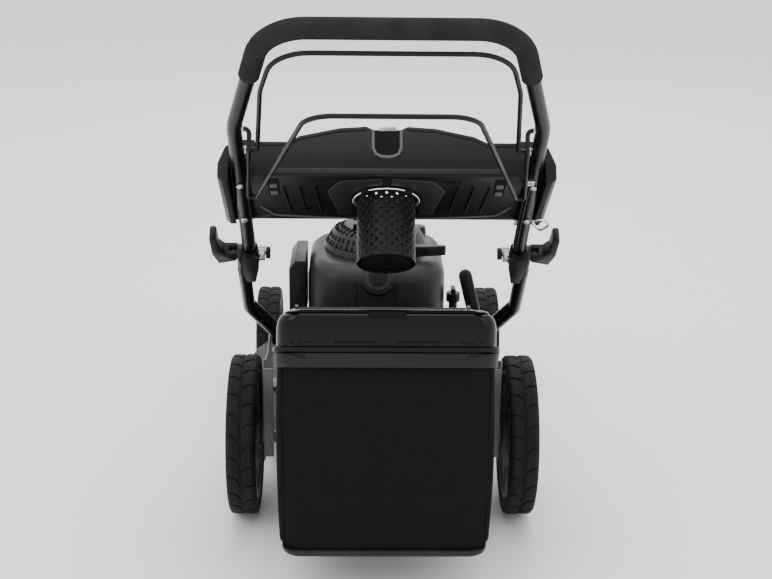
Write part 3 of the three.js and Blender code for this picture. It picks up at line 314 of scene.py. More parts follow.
def foam(name, tone):
    """Closed-cell foam: matt, with fine pores."""
    made = Finish(name, tone, shine=0.08)
    pores = made.node("ShaderNodeTexVoronoi", None, {"Vector": made.place, "Scale": 700.0}, "Distance")
    cloud = made.noise(25, 3)
    made.tint(made.between(cloud, 0.35, 0.65, 0, 1), 0.85, 1.15)
    made.set("Roughness", made.between(pores, 0, 0.6, 0.82, 0.97))
    made.bump(pores, 0.0003, 0.6)
    return made


def rubber(name, tone):
    """Tyre rubber: matt, a little grey with dust, finely pitted."""
    made = Finish(name, tone, shine=0.12)
    dust = made.noise(22, 5)
    pits = made.noise(650, 2)
    made.tint(made.between(dust, 0.35, 0.7, 0, 1), 0.85, 1.35)
    made.set("Roughness", made.between(dust, 0.3, 0.7, 0.58, 0.78))
    made.bump(pits, 0.00018)
    return made


def make_finishes(tones):
    painted("deck_paint", tones.deck_paint, 0.38, 0.0, 0.0, 0.25)
    painted("bracket_steel", tones.bracket_steel, 0.42, 0.3, 0.0)
    painted("tube_paint", tones.tube_paint, 0.27, 0.0, 0.15, 0.22)
    painted("bail_paint", tones.bail_paint, 0.36, 0.0, 0.0, 0.22)
    foam("grip_foam", tones.grip_foam)
    rubber("tyre_rubber", tones.tyre_rubber)
    moulded("rim_plastic", tones.rim_plastic, 0.42)
    moulded("frame_plastic", tones.trim_plastic, 0.45, shine=0.22)
    moulded("trim_plastic", tones.trim_plastic, 0.4, shine=0.15)
    moulded("hood_plastic", tones.hood_plastic, 0.38, 0.05, 1200, 0.00008)
    moulded("lid_plastic", tones.lid_plastic, 0.2, 0.04, 200, 0.00002, shine=0.18)
    moulded("pan_plastic", tones.pan_plastic, 0.45, shine=0.15)
    woven("bag_cloth", tones.bag_cloth, 0.0032)
    bare_metal("cast_alloy", tones.cast_alloy, 0.5, (1, 1, 1), 420)
    bare_metal("plain_steel", tones.plain_steel, 0.3, (1, 14, 14))
    bare_metal("zinc_hardware", tones.zinc_hardware, 0.3)
    bare_metal("chrome_wire", tones.chrome_wire, 0.12)
    # A near-black finish for slabs, strips and wires set in vents, slots, seams, notches and recesses: painted shade
    # standing in for the shadow inside them.
    moulded("dark_gap", grey(6), 0.8)


# ------------------------------------------------------------------ shared shapes


def settings():
    return bpy.context.scene.mower_sizes


def show(obj, finish, body, *nodes, slot=None):
    """Gives a piece its finish and its body, and the CAD nodes that it stands for."""
    if not obj.users_collection:
        bpy.context.scene.collection.objects.link(obj)
    obj.data.materials.append(bpy.data.materials[f"mower_{finish}"])
    if nodes:
        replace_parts(obj, *nodes)
    slot or nodes or finish in SLOT.values()
    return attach(obj, body)


def piece(name, bm, finish, body, *nodes, place=REST, smooth=35, slot=None):
    """A finished mesh piece, its shape moved from its own frame into the mower's."""
    bmesh.ops.transform(bm, matrix=place, verts=bm.verts)
    mesh = bpy.data.meshes.new(name)
    bm.to_mesh(mesh)
    bm.free()
    mesh.shade_smooth()
    mesh.set_sharp_from_angle(angle=math.radians(smooth))
    return show(bpy.data.objects.new(name, mesh), finish, body, *nodes, slot=slot)


def outward(bm, merge=1e-6):
    bmesh.ops.remove_doubles(bm, verts=bm.verts, dist=merge)
    bmesh.ops.recalc_face_normals(bm, faces=bm.faces)
    return bm


def soften(bm, width, segments=2, angle=30):
    """Rounds every edge that turns more than the angle."""
    limit = math.radians(angle)
    edges = [e for e in bm.edges if len(e.link_faces) == 2 and e.calc_face_angle(0) > limit]
    bmesh.ops.bevel(
        bm,
        geom=edges,
        offset=width,
        offset_type="OFFSET",
        segments=segments,
        profile=0.5,
        affect="EDGES",
        clamp_overlap=True,
        material=-1,
    )
    return bm


def prism(bm, outline, way):
    """A closed solid from an outline of points pulled along a vector."""
    face = bm.faces.new([bm.verts.new(point) for point in outline])
    pulled = bmesh.ops.extrude_face_region(bm, geom=[face])
    moved = [v for v in pulled["geom"] if isinstance(v, bmesh.types.BMVert)]
    bmesh.ops.translate(bm, verts=moved, vec=way)
    return bm


def block(bm, low, high):
    """A closed box from its lowest corner to its highest."""
    low, high = Vector(low), Vector(high)
    size = high - low
    box = Matrix.Translation((low + high) / 2) @ Matrix.Diagonal((*size, 1))
    bmesh.ops.create_cube(bm, size=1, matrix=box)
    return bm


def spun(bm, profile, centre, axis, steps=72):
    """Turns a closed profile of points once round an axis."""
    verts = [bm.verts.new(point) for point in profile]
    edges = [bm.edges.new((a, b)) for a, b in zip(verts, verts[1:] + verts[:1])]
    bmesh.ops.spin(
        bm,
        geom=verts + edges,
        cent=centre,
        axis=axis,
        angle=2 * math.pi,
        steps=steps,
        use_merge=True,
        use_duplicate=False,
    )
    return bm


def arc(centre, radius, start, end, steps):
    """Points of an arc, in degrees, each a pair."""
    angles = [math.radians(start + (end - start) * k / steps) for k in range(steps + 1)]
    return [(centre[0] + radius * math.cos(a), centre[1] + radius * math.sin(a)) for a in angles]


def rounded(low, high, radius, steps=6):
    """A rounded rectangle's points, as pairs, from its lowest corner to its highest."""
    (x0, y0), (x1, y1) = low, high
    corners = [(x1, y0, -90), (x1, y1, 0), (x0, y1, 90), (x0, y0, 180)]
    points = []
    for x, y, start in corners:
        inward = (x - math.copysign(radius, x - x0 - 1e-9), y - math.copysign(radius, y - y0 - 1e-9))
        points += arc(inward, radius, start, start + 90, steps)
    return points


def bent(*corners, turn=8):
    """A bent bar's centre line: corners are x, y, z and, where it bends, the bend's radius."""
    line = []
    for i, (x, y, z, *radius) in enumerate(corners):
        corner = Vector((x, y, z))
        if not radius:
            line.append(corner)
            continue
        before = (Vector(corners[i - 1][:3]) - corner).normalized()
        after = (Vector(corners[i + 1][:3]) - corner).normalized()
        half = before.angle(after) / 2
        middle = corner + (before + after).normalized() * (radius[0] / math.sin(half))
        spoke = corner + before * (radius[0] / math.tan(half)) - middle
        axis = before.cross(after)
        sweep = math.pi - 2 * half
        line += [middle + Matrix.Rotation(-sweep * k / turn, 3, axis) @ spoke for k in range(turn + 1)]
    return line


def wire(name, line, radius, finish, body, *nodes, place=REST, closed=False, slot=None, round_steps=6):
    """A round bar, tube or cable along a line of points."""
    curve = bpy.data.curves.new(name, "CURVE")
    curve.dimensions = "3D"
    curve.bevel_depth = radius
    curve.bevel_resolution = round_steps
    curve.use_fill_caps = not closed
    spline = curve.splines.new("POLY")
    spline.points.add(len(line) - 1)
    for point, spot in zip(spline.points, line):
        point.co = (*(place @ Vector(spot)), 1)
    spline.use_cyclic_u = closed
    spline.use_smooth = True
    return show(bpy.data.objects.new(name, curve), finish, body, *nodes, slot=slot)


BODY_OF = {
    node: body for body, nodes in frame["record"]["behaviour"]["bodies"].items() for node in nodes
}


def skin(node, edge=None, smooth=35, segments=2, sharp=28):
    """A CAD piece's shape with its coplanar facets joined and its edges rounded."""
    bm = bmesh.new()
    bm.from_mesh(NODES[node].data)
    bmesh.ops.remove_doubles(bm, verts=bm.verts, dist=2e-6)
    flat = math.radians(0.6)
    bmesh.ops.dissolve_limit(bm, angle_limit=flat, verts=bm.verts, edges=bm.edges, delimit={"NORMAL"})
    soften(bm, settings().edge if edge is None else edge, segments, sharp)
    bmesh.ops.recalc_face_normals(bm, faces=bm.faces)
    return piece(f"{node}_skin", bm, SLOT[node], BODY_OF[node], node, smooth=smooth)


# ------------------------------------------------------------------ wheels


def wheel(end, side):
    """One wheel: a tyre with two offset rows of blocks, and its moulded rim with a boss and ribs."""
    name = f"{end}_{side}"
    body = f"wheel_{name}"
    centre = pivot(f"{body}_spin")
    low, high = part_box(f"tyre_{name}")
    radius, half = centre.z, (high.x - low.x) / 2
    middle = (low.x + high.x) / 2
    across = Vector((1, 0, 0))
    ground = radius - settings().tread_height
    shoulder = mm(9)
    rim_radius = radius - mm(27)

    def ring(pairs):
        return [Vector((middle + x, centre.y, centre.z + r)) for x, r in pairs]

    # The carcass: flat tread, round shoulders, walls down to the rim.
    right = arc((half - mm(1) - shoulder, ground - shoulder), shoulder, 90, 0, 8)
    walls = right + [(half - mm(3), rim_radius + mm(6)), (half - mm(6), rim_radius)]
    profile = [(-x, r) for x, r in reversed(walls)] + walls
    bm = spun(bmesh.new(), ring(profile), centre, across, 120)
    rib = mm(0.9)
    spun(bm, ring([(-rib, ground - mm(1)), (-rib, ground + mm(0.9)), (rib, ground + mm(0.9)), (rib, ground - mm(1))]),
         centre, across, 120)
    count = settings().tread_blocks
    pitch = 2 * math.pi / count
    inner, outer = mm(2.6), half - mm(2.2)
    for row in (-1, 1):
        # One block: wide at the centre, its outer end curved back round the shoulder.
        start = bmesh.new()
        gap = settings().tread_groove / radius
        lengths = 7
        grid = []
        for i in range(lengths + 1):
            across_now = i / lengths
            x = inner + (outer - inner) * across_now
            drop = max(0.0, x - (half - mm(1) - shoulder))
            sink = shoulder - math.sqrt(max(0.0, shoulder**2 - min(drop, shoulder * 0.98) ** 2))
            narrow = 1 - 0.22 * (1 - across_now) ** 3
            swing = -0.3 * pitch * (1 - across_now) ** 4
            lifts = []
            for k in range(5):
                turn = (k / 4 - 0.5) * (pitch - gap) * narrow + swing
                edge_drop = mm(0.45) if k in (0, 4) or i in (0, lengths) else 0
                r = radius - sink - edge_drop
                foot = ground - sink - mm(0.8)
                spot = Vector((row * x, r * math.sin(turn), r * math.cos(turn)))
                base = Vector((row * x, foot * math.sin(turn), foot * math.cos(turn)))
                lifts.append((start.verts.new(spot), start.verts.new(base)))
            grid.append(lifts)
        for a, b in zip(grid, grid[1:]):
            for k in range(4):
                start.faces.new((a[k][0], a[k + 1][0], b[k + 1][0], b[k][0]))
            for k in (0, 4):
                start.faces.new((a[k][0], b[k][0], b[k][1], a[k][1]))
        for lifts in (grid[0], grid[-1]):
            for k in range(4):
                start.faces.new((lifts[k][0], lifts[k + 1][0], lifts[k + 1][1], lifts[k][1]))
        offset = pitch / 2 if row > 0 else 0
        place = Matrix.Translation((middle, centre.y, centre.z)) @ Matrix.Rotation(offset, 4, "X")
        bmesh.ops.transform(start, matrix=place, verts=start.verts)
        faces = start.faces[:] + start.verts[:] + start.edges[:]
        bmesh.ops.spin(
            start, geom=faces, cent=centre, axis=across, angle=2 * math.pi * (count - 1) / count,
            steps=count - 1, use_duplicate=True,
        )
        copied = bpy.data.meshes.new("tread")
        start.to_mesh(copied)
        start.free()
        bm.from_mesh(copied)
        bpy.data.meshes.remove(copied)
    outward(bm)
    piece(f"tread_{name}", bm, "tyre_rubber", body, f"tyre_{name}", smooth=38)

    # The rim: a dish each side with a boss, joined by ribs.
    low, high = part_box(f"rim_{name}")
    reach_low, reach_high = low.x - middle, high.x - middle
    lip, face = rim_radius + mm(0.5), rim_radius - mm(3.5)
    dish, boss = radius * 0.42, radius * 0.17
    left = [
        (-half + mm(5), lip), (-half + mm(3.5), lip - mm(1)), (-half + mm(3.5), face), (-half + mm(8), face - mm(3)),
        (-half + mm(10), dish + mm(3)), (-half + mm(7), dish), (-half + mm(7), boss + mm(3)),
        (min(reach_low, -half) + mm(2), boss), (min(reach_low, -half), boss - mm(2)), (min(reach_low, -half), mm(7)),
    ]
    right = [
        (max(reach_high, half), mm(7)), (max(reach_high, half), boss - mm(2)), (max(reach_high, half) - mm(2), boss),
        (half - mm(7), boss + mm(3)), (half - mm(7), dish), (half - mm(10), dish + mm(3)), (half - mm(8), face - mm(3)),
        (half - mm(3.5), face), (half - mm(3.5), lip - mm(1)), (half - mm(5), lip),
    ]
    bm = spun(bmesh.new(), ring(left + right), centre, across, 96)
    for k in range(10):
        turn = Matrix.Translation(centre) @ Matrix.Rotation(k * math.pi / 5, 4, "X")
        for facing in (-1, 1):
            outer_x = facing * (half - mm(6.5))
            shape = [(outer_x, boss + mm(2)), (outer_x, dish + mm(4)), (facing * (half - mm(6)), face - mm(2)),
                     (facing * (half - mm(14)), face - mm(2)), (facing * (half - mm(14)), boss + mm(2))]
            rib_bm = bmesh.new()
            prism(rib_bm, [Vector((middle - centre.x + x, -mm(1.4), r)) for x, r in shape], mm(0, 2.8, 0))
            soften(rib_bm, mm(0.5))
            bmesh.ops.transform(rib_bm, matrix=turn, verts=rib_bm.verts)
            copied = bpy.data.meshes.new("rib")
            rib_bm.to_mesh(copied)
            rib_bm.free()
            bm.from_mesh(copied)
            bpy.data.meshes.remove(copied)
    outward(bm)
    piece(f"dish_{name}", bm, "rim_plastic", body, f"rim_{name}", smooth=32)


# ------------------------------------------------------------------ grass bag


BAG_SLOPE = math.radians(20.5)
BAG_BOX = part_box("bag_fabric")
LID_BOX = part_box("bag_lid")
FRAME_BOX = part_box("bag_frame")
PAN_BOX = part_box("bag_pan")


def on_slope(bm):
    """Shears a level shape so that its height falls towards the mower's front with the bag's rim."""
    rear = LID_BOX[0].y
    for vert in bm.verts:
        vert.co.z -= (vert.co.y - rear) * math.tan(BAG_SLOPE)
    return bm


def layered(bm, layers, close=True):
    """A solid from rounded rectangles stacked up: each is low and high corner, radius and height."""
    rings = []
    for low, high, radius, z in layers:
        rings.append([bm.verts.new((x, y, z)) for x, y in rounded(low, high, radius, 8)])
    for lower, upper in zip(rings, rings[1:]):
        count = len(lower)
        for k in range(count):
            bm.faces.new((lower[k], lower[(k + 1) % count], upper[(k + 1) % count], upper[k]))
    if close:
        bm.faces.new(rings[0][::-1])
        bm.faces.new(rings[-1])
    return bm


def shrink(low, high, by):
    return (low[0] + by, low[1] + by), (high[0] - by, high[1] - by)


BAG_REAR, BAG_FRONT = FRAME_BOX[0].y, FRAME_BOX[1].y
RIM_Z = FRAME_BOX[1].z - mm(24)  # bottom of the frame at its rear


def fall(y):
    """How far the rim has dropped by y."""
    return (y - BAG_REAR) * math.tan(BAG_SLOPE)


def bag_walls():
    """The cloth: taut, slightly swollen walls between the frame and the pan, open at the mouth."""
    low, high = BAG_BOX
    bottom, columns, rows = low.z, 30, 26
    corner = settings().bag_corner
    bm = bmesh.new()
    rings = []
    for k in range(rows + 1):
        t = k / rows
        front = high.y - mm(84) * max(0.0, 1 - t / 0.29)
        tuck = mm(9) * max(0.0, 1 - t / 0.035)
        a = (low.x + tuck, low.y + mm(2) + tuck * 0.5)
        b = (high.x - tuck, front)
        ring = []
        for x0, y0, x1, y1 in ((b[0], a[1], b[0], b[1]), (b[0], b[1], a[0], b[1]), (a[0], b[1], a[0], a[1]),
                               (a[0], a[1], b[0], a[1])):
            along = Vector((x1 - x0, y1 - y0))
            inward = Vector((-along.y, along.x)).normalized()
            size = along.length
            straight = [corner + (size - 2 * corner) * i / columns for i in range(columns)]
            for distance in straight:
                ring.append(Vector((x0, y0)) + along / size * distance)
            centre = Vector((x1, y1)) - along / size * corner + inward * corner
            start = math.atan2(-inward.y, -inward.x)
            for i in range(8):
                angle = start + math.pi / 2 * i / 8
                ring.append(centre + Vector((math.cos(angle), math.sin(angle))) * corner)
        level = []
        for spot in ring:
            top = RIM_Z - fall(spot.y) + mm(3)
            z = bottom + t * (top - bottom)
            level.append(bm.verts.new((spot.x, spot.y, z)))
        rings.append(level)
    total = len(rings[0])
    for below, above in zip(rings, rings[1:]):
        for k in range(total):
            bm.faces.new((below[k], below[(k + 1) % total], above[(k + 1) % total], above[k]))
    bm.faces.new(rings[0][::-1])
    bmesh.ops.recalc_face_normals(bm, faces=bm.faces)
    mouth = [
        f
        for f in bm.faces
        if f.calc_center_median().y > high.y - mm(2)
        and abs(f.calc_center_median().x) < mm(135)
        and mm(192) < f.calc_center_median().z < mm(262)
    ]
    bmesh.ops.delete(bm, geom=mouth, context="FACES")
    bm.normal_update()
    middle_z = (bottom + RIM_Z) / 2
    half_z = (RIM_Z - bottom) / 2
    for vert in bm.verts:
        if vert.co.y > high.y - mm(60) or vert.co.z < bottom + mm(1):
            continue
        rise = max(0.0, 1 - ((vert.co.z - middle_z) / half_z) ** 2)
        width = 1 - min(1.0, abs(vert.co.x) / high.x) ** 4 if abs(vert.normal.y) > 0.7 else 1
        slack = noise.noise(Vector((vert.co.x * 14, vert.co.y * 11, vert.co.z * 7)))
        pull = noise.noise(Vector((vert.co.x * 55, vert.co.y * 45, vert.co.z * 9 + 4)))
        swell = settings().bag_crown * rise * width
        vert.co += vert.normal * (swell + rise * (mm(1.6) * slack + mm(0.5) * pull) - mm(1))
    cloth = piece("bag_cloth", bm, "bag_cloth", "grass_bag", "bag_fabric", smooth=60)
    thick = cloth.modifiers.new("thickness", "SOLIDIFY")
    thick.thickness, thick.offset = mm(2.5), -1
    return cloth


def bag_trim():
    """The piping down the cloth's corners and the seam above the pan."""
    low, high = BAG_BOX
    r = settings().bag_corner * 0.29
    for side, sign in SIDES.items():
        for end, y in (("rear", low.y + mm(2) + r), ("front", high.y - r - mm(2))):
            x = sign * (high.x - r)
            foot = low.z + (mm(10) if end == "rear" else mm(56))
            line = [(x, y, foot), (x, y, RIM_Z - fall(y) - mm(1))]
            wire(f"bag_piping_{end}_{side}", line, mm(0.8), "bag_cloth", "grass_bag")
    bm = bmesh.new()
    box = rounded((low.x + mm(1.5), low.y + mm(4)), (high.x - mm(1.5), high.y - mm(84)), settings().bag_corner, 8)
    line = [(x, y, low.z + mm(9)) for x, y in box]
    bm.free()
    wire("bag_hem", line, mm(0.8), "bag_cloth", "grass_bag", closed=True)


def lid():
    """The glossy lid: a lip, a rounded dome with a ring groove near its top, and vents at the rear."""
    low = (LID_BOX[0].x, LID_BOX[0].y)
    high = (LID_BOX[1].x, LID_BOX[1].y)
    base = RIM_Z + mm(24.2)
    dome = (LID_BOX[1].z - base + fall(low[1] + mm(30))) * 1000 - 30.5
    layers = []

    def layer(inset, rise, radius=26):
        layers.append((*shrink(low, high, mm(inset)), mm(radius), base + mm(rise)))

    layer(9, 0.3)
    layer(0.8, 0.3)
    layer(0, 1.1)
    layer(0, 6.6)
    layer(1.0, 8.2)
    layer(4.4, 10.2)
    layer(5.2, 11.6)
    layer(5.6, 30)
    for k in range(1, 10):
        a = math.radians(10 * k)
        if k == 5:
            layer(6 + 22 * (1 - math.cos(a)) + 0.2, 30 + dome * math.sin(a) - 1.2, 28)
            layer(6 + 22 * (1 - math.cos(a)) + 3.4, 30 + dome * math.sin(a) - 0.2, 28)
            layer(6 + 22 * (1 - math.cos(a)) + 2.8, 30 + dome * math.sin(a) + 1.6, 28)
            continue
        layer(6 + 22 * (1 - math.cos(a)), 30 + dome * math.sin(a), 26 + 0.25 * k)
    layer(60, 30 + dome, 40)
    bm = on_slope(layered(bmesh.new(), layers))
    # The dome stands higher towards the rear, behind the door that lies on its front.
    for vert in bm.verts:
        if vert.co.z > base - fall(vert.co.y) + mm(14):
            vert.co.z += settings().lid_rise * max(0.0, 1 - (vert.co.y - low[1]) / mm(190))
    outward(bm)
    piece("lid_dome", bm, "lid_plastic", "grass_bag", "bag_lid", smooth=26)

    # Vents and moulded steps of the lid's rear face, each a near-black block a little proud of it: painted shade in
    # place of the slots' depth.
    face = LID_BOX[0].y + mm(5.6)
    z = base + mm(11)
    steps = [(-78, -16, 12, 16.5), (13, 77, 12, 16.5), (-141, -137, 12, 16), (137, 141, 12, 16),
             (-128, -122, 12, 16), (-119, -108, 12, 16), (108, 119, 12, 16), (122, 128, 12, 16)]
    for k, (x0, x1, z0, z1) in enumerate(steps):
        bm = block(bmesh.new(), (mm(x0), face - mm(0.35), base + mm(z0)), (mm(x1), face + mm(2), base + mm(z1)))
        soften(bm, mm(0.3))
        piece(f"lid_vent_{k}", bm, "dark_gap", "grass_bag")
    # The pull's recess as a near-black prism: painted shade in the recess.
    outline = [(-31, 43.5), (-25, 48.5), (25, 48.5), (31, 43.5), (27, 42), (-27, 42)]
    depth = mm(3.4)
    bm = prism(bmesh.new(), [Vector((mm(x), face + depth, base + mm(h + 8))) for x, h in outline], mm(0, 8, 0))
    soften(bm, mm(0.4))
    piece("lid_pull", bm, "dark_gap", "grass_bag")


def bag_frame():
    """The stiff rim that the cloth hangs from, with a dark triangle each side of the rear: a painted shadow where the
    lid's rim curves over the frame.
    """
    low = (FRAME_BOX[0].x, FRAME_BOX[0].y)
    high = (FRAME_BOX[1].x, FRAME_BOX[1].y)
    layers = []
    for inset, rise in ((3, 0.2), (0.6, 0.8), (0, 2.4), (0, 21), (0.7, 23), (2.2, 23.8), (9, 23.8)):
        layers.append((*shrink(low, high, mm(inset)), mm(25), RIM_Z + mm(rise)))
    layers.append((*shrink(low, high, mm(9)), mm(18), RIM_Z + mm(0.2)))
    rings = layers + [layers[0]]
    bm = on_slope(layered(bmesh.new(), rings, close=False))
    outward(bm)
    piece("frame_band", bm, "frame_plastic", "grass_bag", "bag_frame", slot="trim_plastic")
    for side, sign in SIDES.items():
        # Painted shadow: a triangle in the lid's darkest finish where the lid's rim overhangs the frame's corner.
        outline = [(163, 22.5), (127, 13), (133, 21.5)]
        points = [Vector((sign * mm(x - 12), FRAME_BOX[0].y - mm(0.2), RIM_Z + mm(h))) for x, h in outline]
        bm = prism(bmesh.new(), points, mm(0, 5, 0))
        outward(bm)
        piece(f"frame_painted_shadow_{side}", bm, "lid_plastic", "grass_bag")


def bag_pan():
    """The shallow moulded pan under the cloth."""
    low = (PAN_BOX[0].x, PAN_BOX[0].y)
    high = (PAN_BOX[1].x, PAN_BOX[1].y)
    top = PAN_BOX[1].z
    layers = []
    for inset, drop in ((14, 14), (9, 13.6), (5, 12), (2, 9), (0.6, 5), (0, 1.2), (0.8, 0.4)):
        layers.append((*shrink(low, high, mm(inset)), mm(24), top - mm(drop) + mm(0.3)))
    bm = layered(bmesh.new(), layers)
    outward(bm)
    piece("pan_shell", bm, "pan_plastic", "grass_bag", "bag_pan")


# ------------------------------------------------------------------ handle


def handle_tube():
    r = settings().tube_radius
    line = bent(
        mm(-220, 0, -28),
        (*mm(-220, 0, 365), mm(150)),
        (*mm(-166.7, 0, 589), mm(72)),
        (*mm(166.7, 0, 589), mm(72)),
        (*mm(220, 0, 365), mm(150)),
        mm(220, 0, -28),
        turn=14,
    )
    wire("handle_tube", line, r, "tube_paint", "handle", "upper_handle", place=HANDLE, round_steps=10)


def grip():
    line = bent(
        mm(-190.7, 0, 488),
        (*mm(-166.7, 0, 589), mm(72)),
        (*mm(166.7, 0, 589), mm(72)),
        mm(190.7, 0, 488),
        turn=16,
    )
    foam_sleeve = wire("foam_sleeve", line, settings().foam_radius, "grip_foam", "handle", "foam_grip",
                       place=HANDLE, round_steps=10)


def mirrored(half):
    return half + [(-x, *rest) for x, *rest in reversed(half)]


def corners(*points):
    return [tuple(value * 0.001 for value in point) for point in points]


def bails():
    lean = Matrix.Rotation(math.radians(4.82), 4, "X")
    place = HANDLE @ Matrix.Translation(mm(0, 0, 305)) @ lean
    half = corners((-214, 0, 0), (-190, 0, 0, 9), (-176.5, 0, 165, 120), (-153.7, 0, 262, 60))
    r = settings().rod_radius
    wire("drive_rod", bent(*mirrored(half)), r, "bail_paint", "drive_bail", "drive_bail", place=place)
    place = HANDLE @ Matrix.Translation(mm(0, 0, 360))
    half = corners(
        (-214, 0, 0), (-198, 0, 0, 8), (-200, -19, -26, 12), (-208, -21, -152, 5.2), (-196, -21, -152, 5.2),
        (-110, -104, 183, 45),
    )
    wire("brake_rod", bent(*mirrored(half)), r, "bail_paint", "brake_bail", "brake_bail", place=place)


def on_handle(x, off, along):
    return HANDLE @ mm(x, off, along)


def fittings():
    """The wire ring and rope guide, bail pivots' washers and the control cables on the tube."""
    ring = [(mm(50) * math.cos(math.tau * k / 64), -mm(3.2), mm(65) + mm(50) * math.sin(math.tau * k / 64))
            for k in range(64)]
    wire("basket_wire", ring, mm(2.2), "chrome_wire", "handle", "cup_ring", place=TRAY, closed=True)
    guide = bent(
        mm(234, -3, 105),
        (*mm(243, -13, 97), mm(7)),
        (*mm(258, -14, 117), mm(12)),
        (*mm(245, -14, 139), mm(9)),
        mm(233, -13, 129),
    )
    wire("rope_wire", guide, mm(1.8), "chrome_wire", "handle", "rope_guide", place=HANDLE)
    for name, low, high in (("inner", 203, 209), ("outer", 231.2, 235)):
        bm = bmesh.new()
        bolt = HANDLE @ Matrix.Translation(mm((low + high) / 2, 0, 105)) @ Matrix.Rotation(math.pi / 2, 4, "Y")
        bmesh.ops.create_cone(bm, cap_ends=True, segments=24, radius1=mm(6), radius2=mm(6),
                              depth=mm(high - low), matrix=bolt)
        soften(bm, mm(0.8))
        piece(f"guide_bolt_{name}", bm, "zinc_hardware", "handle")
    for side, sign in SIDES.items():
        for name, along in (("drive", 305), ("brake", 360)):
            bm = bmesh.new()
            washer = HANDLE @ Matrix.Translation(mm(sign * 207.5, 0, along)) @ Matrix.Rotation(math.pi / 2, 4, "Y")
            bmesh.ops.create_cone(bm, cap_ends=True, segments=24, radius1=mm(6), radius2=mm(6), depth=mm(2.4),
                                  matrix=washer)
            soften(bm, mm(0.5))
            piece(f"pivot_washer_{name}_{side}", bm, "zinc_hardware", "handle")
    cables = {
        "cable_drive": bent(mm(213, -9, 232), (*mm(209, -12, 190), mm(40)), (*mm(208, -13, 120), mm(60)),
                            mm(210, -11, 34)),
        "cable_brake": bent(mm(216, -10, 226), (*mm(213, -13, 186), mm(40)), (*mm(212, -15, 120), mm(60)),
                            mm(213, -12, 30)),
    }
    for name, line in cables.items():
        wire(name, line, mm(1.6), "trim_plastic", "handle", place=HANDLE)
    for k, along in enumerate((240, 233)):
        bm = block(bmesh.new(), mm(204, -13, along - 2.5), mm(221, -9, along + 2.5))
        soften(bm, mm(0.8))
        piece(f"cable_stop_{k}", bm, "zinc_hardware", "handle", place=HANDLE)


def basket():
    """The cup basket: a round rim, rows of punched holes and a dished floor."""
    r, z = mm(44), mm(65)
    columns, rows = settings().cup_columns, 7
    step = math.tau / columns
    rise = r * step * 0.9
    top = mm(3.2)
    bm = bmesh.new()
    grid = []
    for row in range(rows * 2 + 1):
        y = top - mm(7) - row * rise
        grid.append([bm.verts.new((r * math.cos(k * step), y, z + r * math.sin(k * step))) for k in range(columns)])
    holes = []
    for row in range(rows * 2):
        for k in range(columns):
            n = (k + 1) % columns
            face = bm.faces.new((grid[row][k], grid[row][n], grid[row + 1][n], grid[row + 1][k]))
            if (row + k) % 2 == 0:
                holes.append(face)
    bmesh.ops.inset_individual(bm, faces=holes, thickness=r * step * 0.2)
    bmesh.ops.subdivide_edges(bm, edges=[e for f in holes for e in f.edges], cuts=1)
    for face in holes:
        middle = face.calc_center_median()
        for vert in face.verts:
            vert.co = middle + (vert.co - middle).normalized() * settings().cup_hole
    bmesh.ops.delete(bm, geom=holes, context="FACES")
    bottom_y = top - mm(7) - rows * 2 * rise
    foot_y = mm(3 - 106)
    lip = [(r, top - mm(7)), (r, top), (r + mm(4), top), (r + mm(4), top + mm(1.6)), (r - mm(1), top + mm(1.6))]
    floor = [(r, bottom_y), (r, foot_y + mm(8)), (r - mm(3), foot_y + mm(2)), (r - mm(8), foot_y + mm(0.5)),
             (r * 0.62, foot_y + mm(0.5)), (r * 0.3, foot_y + mm(0.5)), (mm(0.5), foot_y + mm(0.5))]
    for profile in (lip, floor):
        rings = [[bm.verts.new((q * math.cos(k * step), y, z + q * math.sin(k * step))) for k in range(columns)]
                 for q, y in profile]
        for a, b in zip(rings, rings[1:]):
            for k in range(columns):
                n = (k + 1) % columns
                bm.faces.new((a[k], a[n], b[n], b[k]))
    outward(bm)
    made = piece("basket_wall", bm, "trim_plastic", "handle", "cup_basket", place=TRAY, smooth=40)
    thick = made.modifiers.new("thickness", "SOLIDIFY")
    thick.thickness, thick.offset = mm(1.4), 0


